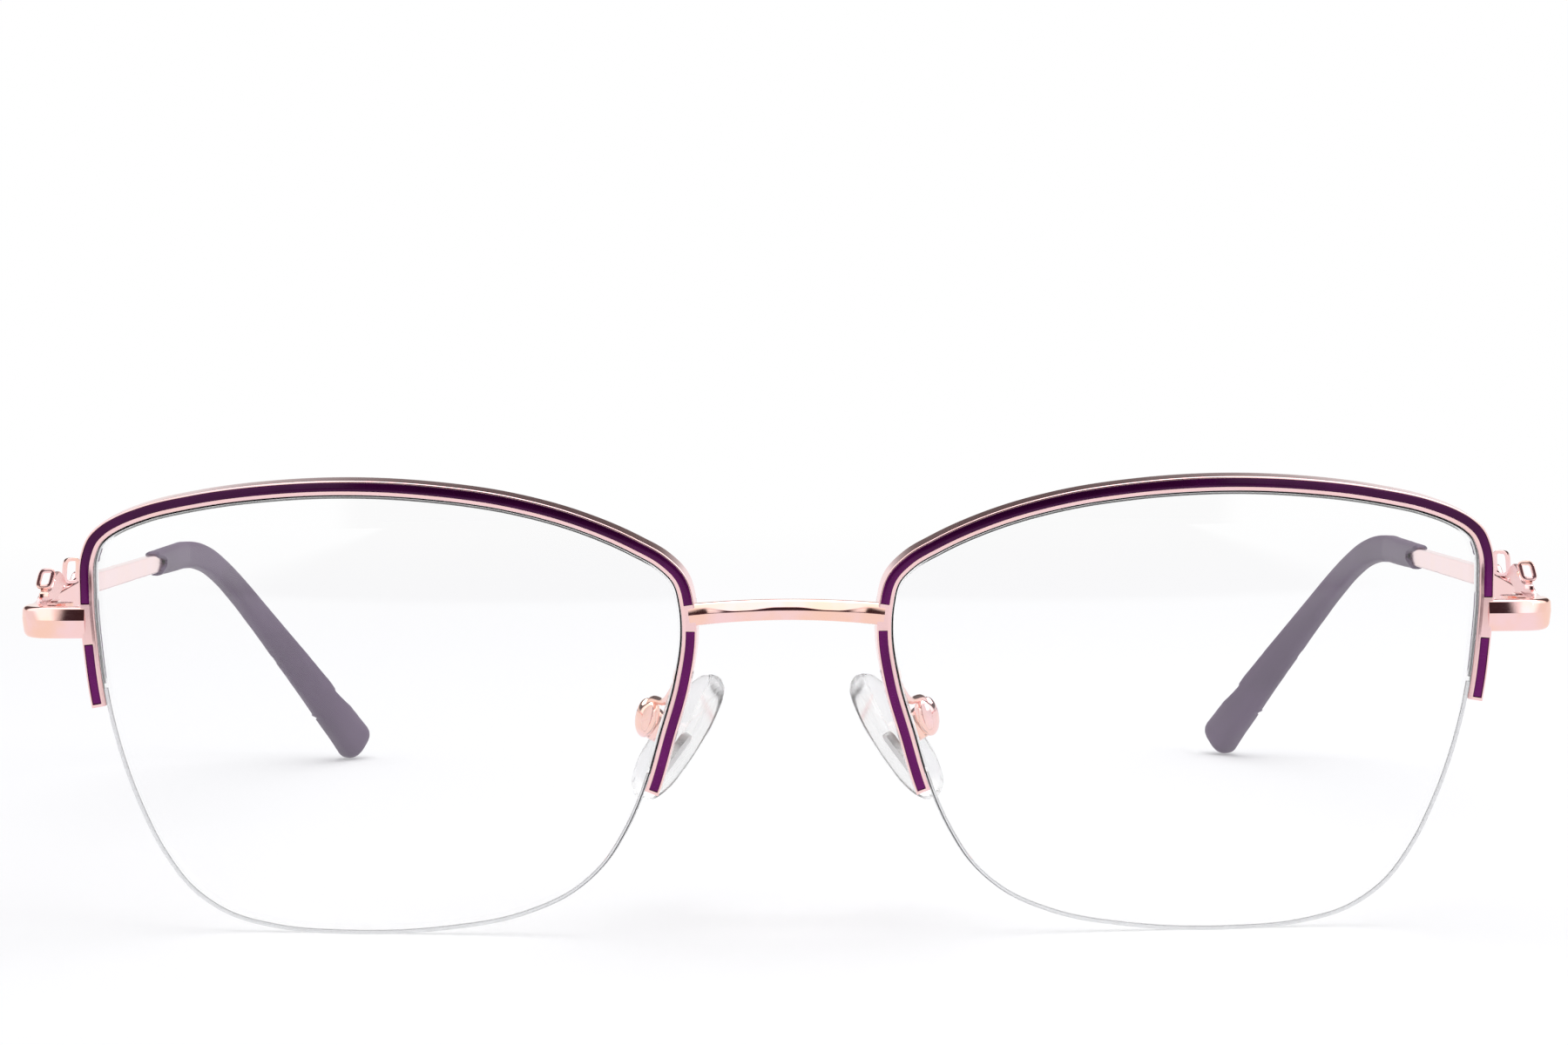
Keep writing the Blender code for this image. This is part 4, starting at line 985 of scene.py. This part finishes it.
class EYEWEAR_OT_tips(bpy.types.Operator):
    """Matte sleeves over the temples' ends, with an oval notch at each mouth"""
    bl_idname = "eyewear.tips"
    bl_label = "Temple tips"

    def execute(self, context):
        front = Front()
        sizes = context.scene.eyewear_temple
        bend = bend_route(front, TIP_ABOVE_TABLE, 5)
        straight = [SLEEVE_Y + (BEND_Y - SLEEVE_Y) * step / 30 for step in range(30)]
        places = [Vector((BAR_X, y, bar_z(y))) for y in straight] + bend
        scales = []
        bend_scale, end_scale, end_reach = 1.08, 1.72, 0.0011
        for place in places:
            if place.y <= BEND_Y:
                part = (place.y - SLEEVE_Y) / (BEND_Y - SLEEVE_Y)
                scales.append(1 + (bend_scale - 1) * part)
            else:
                part = (bend[0].z - place.z) / (bend[0].z - bend[-1].z)
                scales.append(bend_scale + (end_scale - bend_scale) * part**2)
        ahead = (places[-1] - places[-2]).normalized()
        for step in range(1, 6):
            angle = QUARTER * step / 6
            places.append(bend[-1] + ahead * end_reach * math.sin(angle))
            scales.append(end_scale * (0.45 + 0.55 * math.cos(angle)**0.6))
        section = oval(sizes.sleeve_thickness, sizes.sleeve_height, 32)
        route = [front.temple + place for place in places]
        rings = rings_along(route, section, scales)
        painted_shade_rings, rings_past_mouth = 10, 12
        rings = self.mouth(front, sizes, section) + rings[rings_past_mouth:]
        # The first bands, inside the mouth and round its lip, get the second, near-black material:
        # painted shade
        pair("sleeve_{}", rings, "{}_temple", "purple_sleeve", "temple_tip_{}",
             second="sleeve_mouth", sharp=50, painted=painted_shade_rings)
        return {'FINISHED'}

    @staticmethod
    def mouth(front, sizes, section):
        """Rings of the sleeve's lip: up to its notched edge outside, and down the bore."""
        reach, slope = sizes.mouth_reach, math.tan(math.radians(44))
        whole = SLEEVE_Y + reach + 0.0028

        def start_of(b):
            """Where the lip starts at this height of the section."""
            up = min(abs(b) / (sizes.bar_height / 2), 1)
            notch = reach * math.sqrt(1 - up * up)
            lip = (sizes.sleeve_height / 2 - b) / slope
            return SLEEVE_Y + max(notch, lip)

        def ring(shrink, share_back, depth):
            row = []
            for a, b in section:
                y = start_of(b)
                y += (whole - y) * share_back + depth
                centre = front.temple + Vector((BAR_X, y, bar_z(y)))
                row.append(centre + Vector((a * shrink, 0, b * shrink)))
            return row

        inside = [ring(0.58, 0, depth) for depth in (0.009, 0.004, 0.0004)]
        lip = [ring(0.66, 0, 0.0001), ring(0.80, 0, 0), ring(0.93, 0, 0.0001)]
        outside = [ring(1.0, share_back, 0) for share_back in (0.03, 0.12, 0.18, 0.4, 0.7)]
        return inside + lip + outside


class Pad:
    """The right pad's frame: X towards its front edge, Y up the pad, Z towards the nose."""

    def __init__(self, front):
        flare = Matrix.Rotation(-math.radians(34), 3, 'Y')
        splay = math.radians(28)
        up = flare @ UP
        ahead = Vector((-math.sin(splay), -math.cos(splay), 0))
        ahead = (ahead - up * ahead.dot(up)).normalized()
        self.nose = ahead.cross(up)
        turn = Matrix((ahead, up, self.nose)).transposed().to_4x4()
        self.pivot = (front.nose + Vector((0.0008, 0.0123, -0.0111))
                      - self.nose * PAD_STANDOFF)
        self.matrix = Matrix.Translation(self.pivot) @ turn


class EYEWEAR_OT_pads(bpy.types.Operator):
    """Clear soft nose pads, domed towards the nose"""
    bl_idname = "eyewear.pads"
    bl_label = "Nose pads"

    def execute(self, context):
        front = Front()
        pad = Pad(front)
        sizes = context.scene.eyewear_pad
        shares = ((1.00, -0.25), (0.97, 0.20), (0.78, 0.64), (0.42, 0.93), (0.00, 1.00),
                  (-0.42, 0.93), (-0.78, 0.64), (-0.97, 0.20), (-1.00, -0.25), (-0.86, -0.68),
                  (-0.48, -0.94), (0.00, -1.00), (0.48, -0.94), (0.86, -0.68))
        outline = smooth_route([(x * sizes.pad_width / 2, y * sizes.pad_length / 2, 0)
                                for x, y in shares], 5, closed=True)
        half = sizes.pad_thickness / 2
        rows = [(0.28, 1.0), (0.55, 0.985), (0.76, 0.93), (0.89, 0.80), (0.965, 0.58),
                (0.995, 0.3), (1.0, 0.05), (0.985, -0.32), (0.94, -0.66), (0.86, -0.88),
                (0.72, -0.985), (0.45, -1.0), (0.2, -1.0)]
        middle = pad.matrix @ Matrix.Translation((0, 0, PAD_STANDOFF))
        rings = [[middle @ Vector((place.x * size, place.y * size, half * level))
                  for place in outline] for size, level in rows]
        pair("soft_pad_{}", rings, "{}_pad", "clear_pad", "nose_pad_{}", sharp=60)
        return {'FINISHED'}


class EYEWEAR_OT_pad_mounts(bpy.types.Operator):
    """Bent arms and polished cups that carry the pads"""
    bl_idname = "eyewear.pad_mounts"
    bl_label = "Pad arms and boxes"

    def execute(self, context):
        front = Front()
        pad = Pad(front)
        radius = context.scene.eyewear_pad.arm_radius
        centre, up = self.cup_frame(pad)[:2]
        places = [(-0.0002, 0.0007, -0.0036), (0.0001, 0.0022, -0.0042), (0.0006, 0.0040, -0.0050),
                  (0.0012, 0.0064, -0.0061), (0.0020, 0.0086, -0.0073)]
        route = [front.nose + Vector(place) for place in places]
        route += [centre + up * 0.0014, centre + up * 0.0004]
        steps = 6
        line = smooth_route(route, steps)
        stout = (1, 0.9, 0.8, 0.75, 0.75, 0.9, 1)
        scales = [first + (last - first) * step / steps
                  for first, last in zip(stout, stout[1:]) for step in range(steps)] + [stout[-1]]
        circle = [Vector((radius * across, radius * up)) for across, up in around(20)]
        pair("pad_wire_{}", rings_along(line, circle, scales), "front", "rose_gold", "pad_arm_{}")
        pair("pad_cup_{}", self.cup(pad), "front", "rose_gold", sharp=60)
        for part, rows in (("strip", self.strip(pad)), ("stud", self.stud(pad))):
            pair("pad_" + part + "_{}", rows, "{}_pad", "steel", "pad_insert_{}", sharp=25)
        carry("pad_box_{}", "rose_gold")
        carry("pad_screw_{}", "steel")
        return {'FINISHED'}

    @staticmethod
    def cup_frame(pad):
        """The knob's middle, and its directions up, across and deep."""
        up = (pad.matrix.to_3x3() @ Vector((0, 1, 0)) + UP * 1.3).normalized()
        across = up.cross(pad.nose).normalized()
        return pad.pivot - pad.nose * 0.00170 + up * 0.0002, up, across, across.cross(up)

    @staticmethod
    def cup(pad):
        """Rows of the heart-topped knob behind the pad's box."""
        centre, up, across, deep = EYEWEAR_OT_pad_mounts.cup_frame(pad)
        half_width, half_depth, half_height, steps = 0.00145, 0.00100, 0.0019, 20
        rows = []
        for step in range(1, steps):
            level = -math.cos(math.pi * step / steps)
            wide = (1 - abs(level)**2.5)**0.5 * (1 - 0.12 * max(-level, 0))
            row = []
            for a, b in around(36):
                cleft = 0.45 * max(1 - abs(wide * a) / 0.6, 0)**1.4 * max(level, 0)**2
                row.append(centre + across * half_width * (wide * a)
                           + deep * half_depth * wide * b + up * half_height * (level - cleft))
            rows.append(row)
        return rows

    @staticmethod
    def strip(pad):
        """Rows of the grooved strip that is moulded into the pad, worked out in millimetres."""
        section = [(0.48, 1.72), (0.48, 2.02), (0.60, 2.14), (0.70, 1.98), (0.82, 2.14),
                   (0.94, 1.98), (1.06, 2.14), (1.18, 1.98), (1.30, 2.06), (1.30, 1.72)]
        rows = []
        for place, size in ((-5.0, 0.55), (-4.85, 0.8), (-4.6, 1), (-2.5, 1), (-0.5, 1), (0.6, 1),
                            (0.85, 0.8), (1.0, 0.55)):
            rows.append([pad.matrix @ (Vector((2.2 + 0.07 * place + (x - 0.9) * size, place,
                                               1.9 + (z - 1.9) * size)) * 0.001)
                         for x, z in section])
        return rows

    @staticmethod
    def stud(pad):
        """Rows of the short post from the box into the pad, worked out in millimetres."""
        section = rounded_box(0.45, 0.5, 0.2)
        return [[pad.matrix @ (Vector((point.x * size, point.y * size, level)) * 0.001)
                 for point in section]
                for level, size in ((-0.5, 0.7), (-0.42, 0.9), (-0.3, 1), (1.5, 1), (1.7, 1.5),
                                    (1.85, 1.5))]


class EYEWEAR_OT_hinges(bpy.types.Operator):
    """Hinge leaves and their screws"""
    bl_idname = "eyewear.hinges"
    bl_label = "Hinges"

    def execute(self, context):
        carry("hinge_front_{}", "rose_gold")
        carry("hinge_temple_{}", "rose_gold")
        carry("hinge_screw_{}", "steel")
        return {'FINISHED'}


class EYEWEAR_OT_studio(bpy.types.Operator):
    """Plain pale floor, soft light and the camera"""
    bl_idname = "eyewear.studio"
    bl_label = "Studio"

    def execute(self, context):
        self.floor()
        self.world(context.scene)
        self.lamps(context.scene)
        self.camera(context.scene)
        context.scene.view_settings.view_transform = 'Standard'
        return {'FINISHED'}

    @staticmethod
    def floor():
        body = bmesh.new()
        bmesh.ops.create_grid(body, x_segments=1, y_segments=1, size=8)
        item = finish_mesh("floor", body)
        finish = Finish("studio_floor")
        seen = finish.rays("Is Camera Ray", "Is Transmission Ray")
        glossy = finish.rays("Is Glossy Ray") * (1 - finish.rays("Is Transmission Ray"))
        x, y = finish.parts_of(finish.place())[:2]
        near = finish.node('ShaderNodeBsdfDiffuse', None, {"Color": (0.72, 0.72, 0.725)})
        lift = finish.glow(WHITE, 0.22 * seen)
        lit = finish.node('ShaderNodeAddShader', None, {0: near, 1: lift})
        # The floor turns to plain white with its distance from the glasses
        away = (x * x + y * y).math('SQRT').eased(0.16, 0.45)
        plain = finish.blend((seen * away + glossy).math('MINIMUM', 1), lit, finish.glow(WHITE))
        # A dark card in front of the glasses, for reflections alone
        card = (glossy * (1 - (x.math('ABSOLUTE') + 0.25 * y).eased(0.08, 0.16))
                * (1 - y.eased(-0.34, -0.29)))
        surface = finish.blend(card, plain, finish.glow((0.11, 0.062, 0.075)))
        finish.node('ShaderNodeOutputMaterial', None, {"Surface": surface})
        item.data.materials.append(finish.material)

    @staticmethod
    def world(scene):
        scene.world = bpy.data.worlds.new("studio")
        sky = Shading(scene.world)
        x, y, z = sky.parts_of(sky.node('ShaderNodeTexCoord', output="Generated"))
        side = x.math('ABSOLUTE')
        # A dark card ahead, bright panels on both sides and overhead, and a dim band behind
        ahead = (1 - (side + 0.3 * y).eased(0, 0.06)) * (1 - z.eased(0.52, 0.58))
        panel = side.eased(0.30, 0.36) * z.eased(0.15, 0.30)
        behind = y.eased(0.2, 0.5) * z.eased(0.12, 0.3) * (1 - z.eased(0.75, 0.9))
        room = sky.mix(panel, (0.97, 0.96, 0.955), (1.5, 1.48, 1.46))
        room = sky.mix(z.eased(0.50, 0.66), room, (1.5, 1.49, 1.47))
        room = sky.mix(behind, room, (0.10, 0.075, 0.075))
        room = sky.mix(ahead, room, (0.045, 0.022, 0.026))
        lit = sky.mix(sky.rays("Is Glossy Ray"), (0.62, 0.62, 0.635), room)
        shown = sky.mix(sky.rays("Is Camera Ray", "Is Transmission Ray"), lit, WHITE)
        background = sky.node('ShaderNodeBackground', None, {"Color": shown, "Strength": 1.0})
        sky.node('ShaderNodeOutputWorld', None, {"Surface": background})

    @staticmethod
    def lamps(scene):
        aim = Vector((0, 0, 0.02))
        for name, place, size, power in (("top softbox", (0.05, 0.05, 0.75), 0.8, 3.2),
                                         ("side softbox", (0.55, -0.35, 0.45), 0.4, 0.9)):
            light = bpy.data.lights.new(name, 'AREA')
            light.energy = power
            light.size = size
            item = bpy.data.objects.new(name, light)
            scene.collection.objects.link(item)
            item.location = place
            item.rotation_euler = (aim - item.location).to_track_quat('-Z', 'Y').to_euler()

    @staticmethod
    def camera(scene):
        place = Vector((0, scene.eyewear_front.stand_y - 0.400, 0.0669))
        # Fitted to where the lenses' edges and the tips are in the photograph
        pitch, roll, yaw = (math.radians(value) for value in (4.236, 0.30, 0.0276))
        ahead = Vector((-math.sin(yaw) * math.cos(pitch), math.cos(yaw) * math.cos(pitch),
                        -math.sin(pitch)))
        level = Vector((math.cos(yaw), math.sin(yaw), 0))
        up = level.cross(ahead)
        right = level * math.cos(roll) - up * math.sin(roll)
        top = up * math.cos(roll) + level * math.sin(roll)
        data = bpy.data.cameras.new("camera")
        data.sensor_width = 36.0
        data.lens = 102.2
        data.clip_start = 0.01
        item = bpy.data.objects.new("camera", data)
        scene.collection.objects.link(item)
        turn = Matrix((right, top, -ahead)).transposed().to_4x4()
        item.matrix_world = Matrix.Translation(place) @ turn
        scene.camera = item


class EYEWEAR_PT_panel(bpy.types.Panel):
    """Lists the pieces, their sizes and their finishes"""
    bl_idname = "EYEWEAR_PT_panel"
    bl_label = "Eyeglasses"
    bl_space_type = 'VIEW_3D'
    bl_region_type = 'UI'
    bl_category = "Eyewear"

    def draw(self, context):
        layout = self.layout
        for group in (context.scene.eyewear_front, context.scene.eyewear_temple,
                      context.scene.eyewear_pad, context.scene.eyewear_finish):
            box = layout.box()
            for name in group.__annotations__:
                box.prop(group, name)
        for operator in OPERATORS:
            layout.operator(operator.bl_idname)


GROUPS = {"eyewear_front": EyewearFront, "eyewear_temple": EyewearTemple,
          "eyewear_pad": EyewearPad, "eyewear_finish": EyewearFinish}
OPERATORS = (EYEWEAR_OT_rims, EYEWEAR_OT_enamel, EYEWEAR_OT_lenses, EYEWEAR_OT_bridge,
             EYEWEAR_OT_endpieces, EYEWEAR_OT_temples, EYEWEAR_OT_tips, EYEWEAR_OT_pads,
             EYEWEAR_OT_pad_mounts, EYEWEAR_OT_hinges, EYEWEAR_OT_studio)


def register():
    for cls in (*GROUPS.values(), *OPERATORS, EYEWEAR_PT_panel):
        bpy.utils.register_class(cls)
    for name, cls in GROUPS.items():
        setattr(bpy.types.Scene, name, PointerProperty(type=cls))


def unregister():
    for name in GROUPS:
        delattr(bpy.types.Scene, name)
    for cls in (EYEWEAR_PT_panel, *reversed(OPERATORS), *reversed(GROUPS.values())):
        bpy.utils.unregister_class(cls)


def main():
    register()
    bpy.ops.eyewear.rims()
    bpy.ops.eyewear.enamel()
    bpy.ops.eyewear.lenses()
    bpy.ops.eyewear.bridge()
    bpy.ops.eyewear.endpieces()
    bpy.ops.eyewear.temples()
    bpy.ops.eyewear.tips()
    bpy.ops.eyewear.pads()
    bpy.ops.eyewear.pad_mounts()
    bpy.ops.eyewear.hinges()
    bpy.ops.eyewear.studio()


if __name__ == "__main__":
    main()
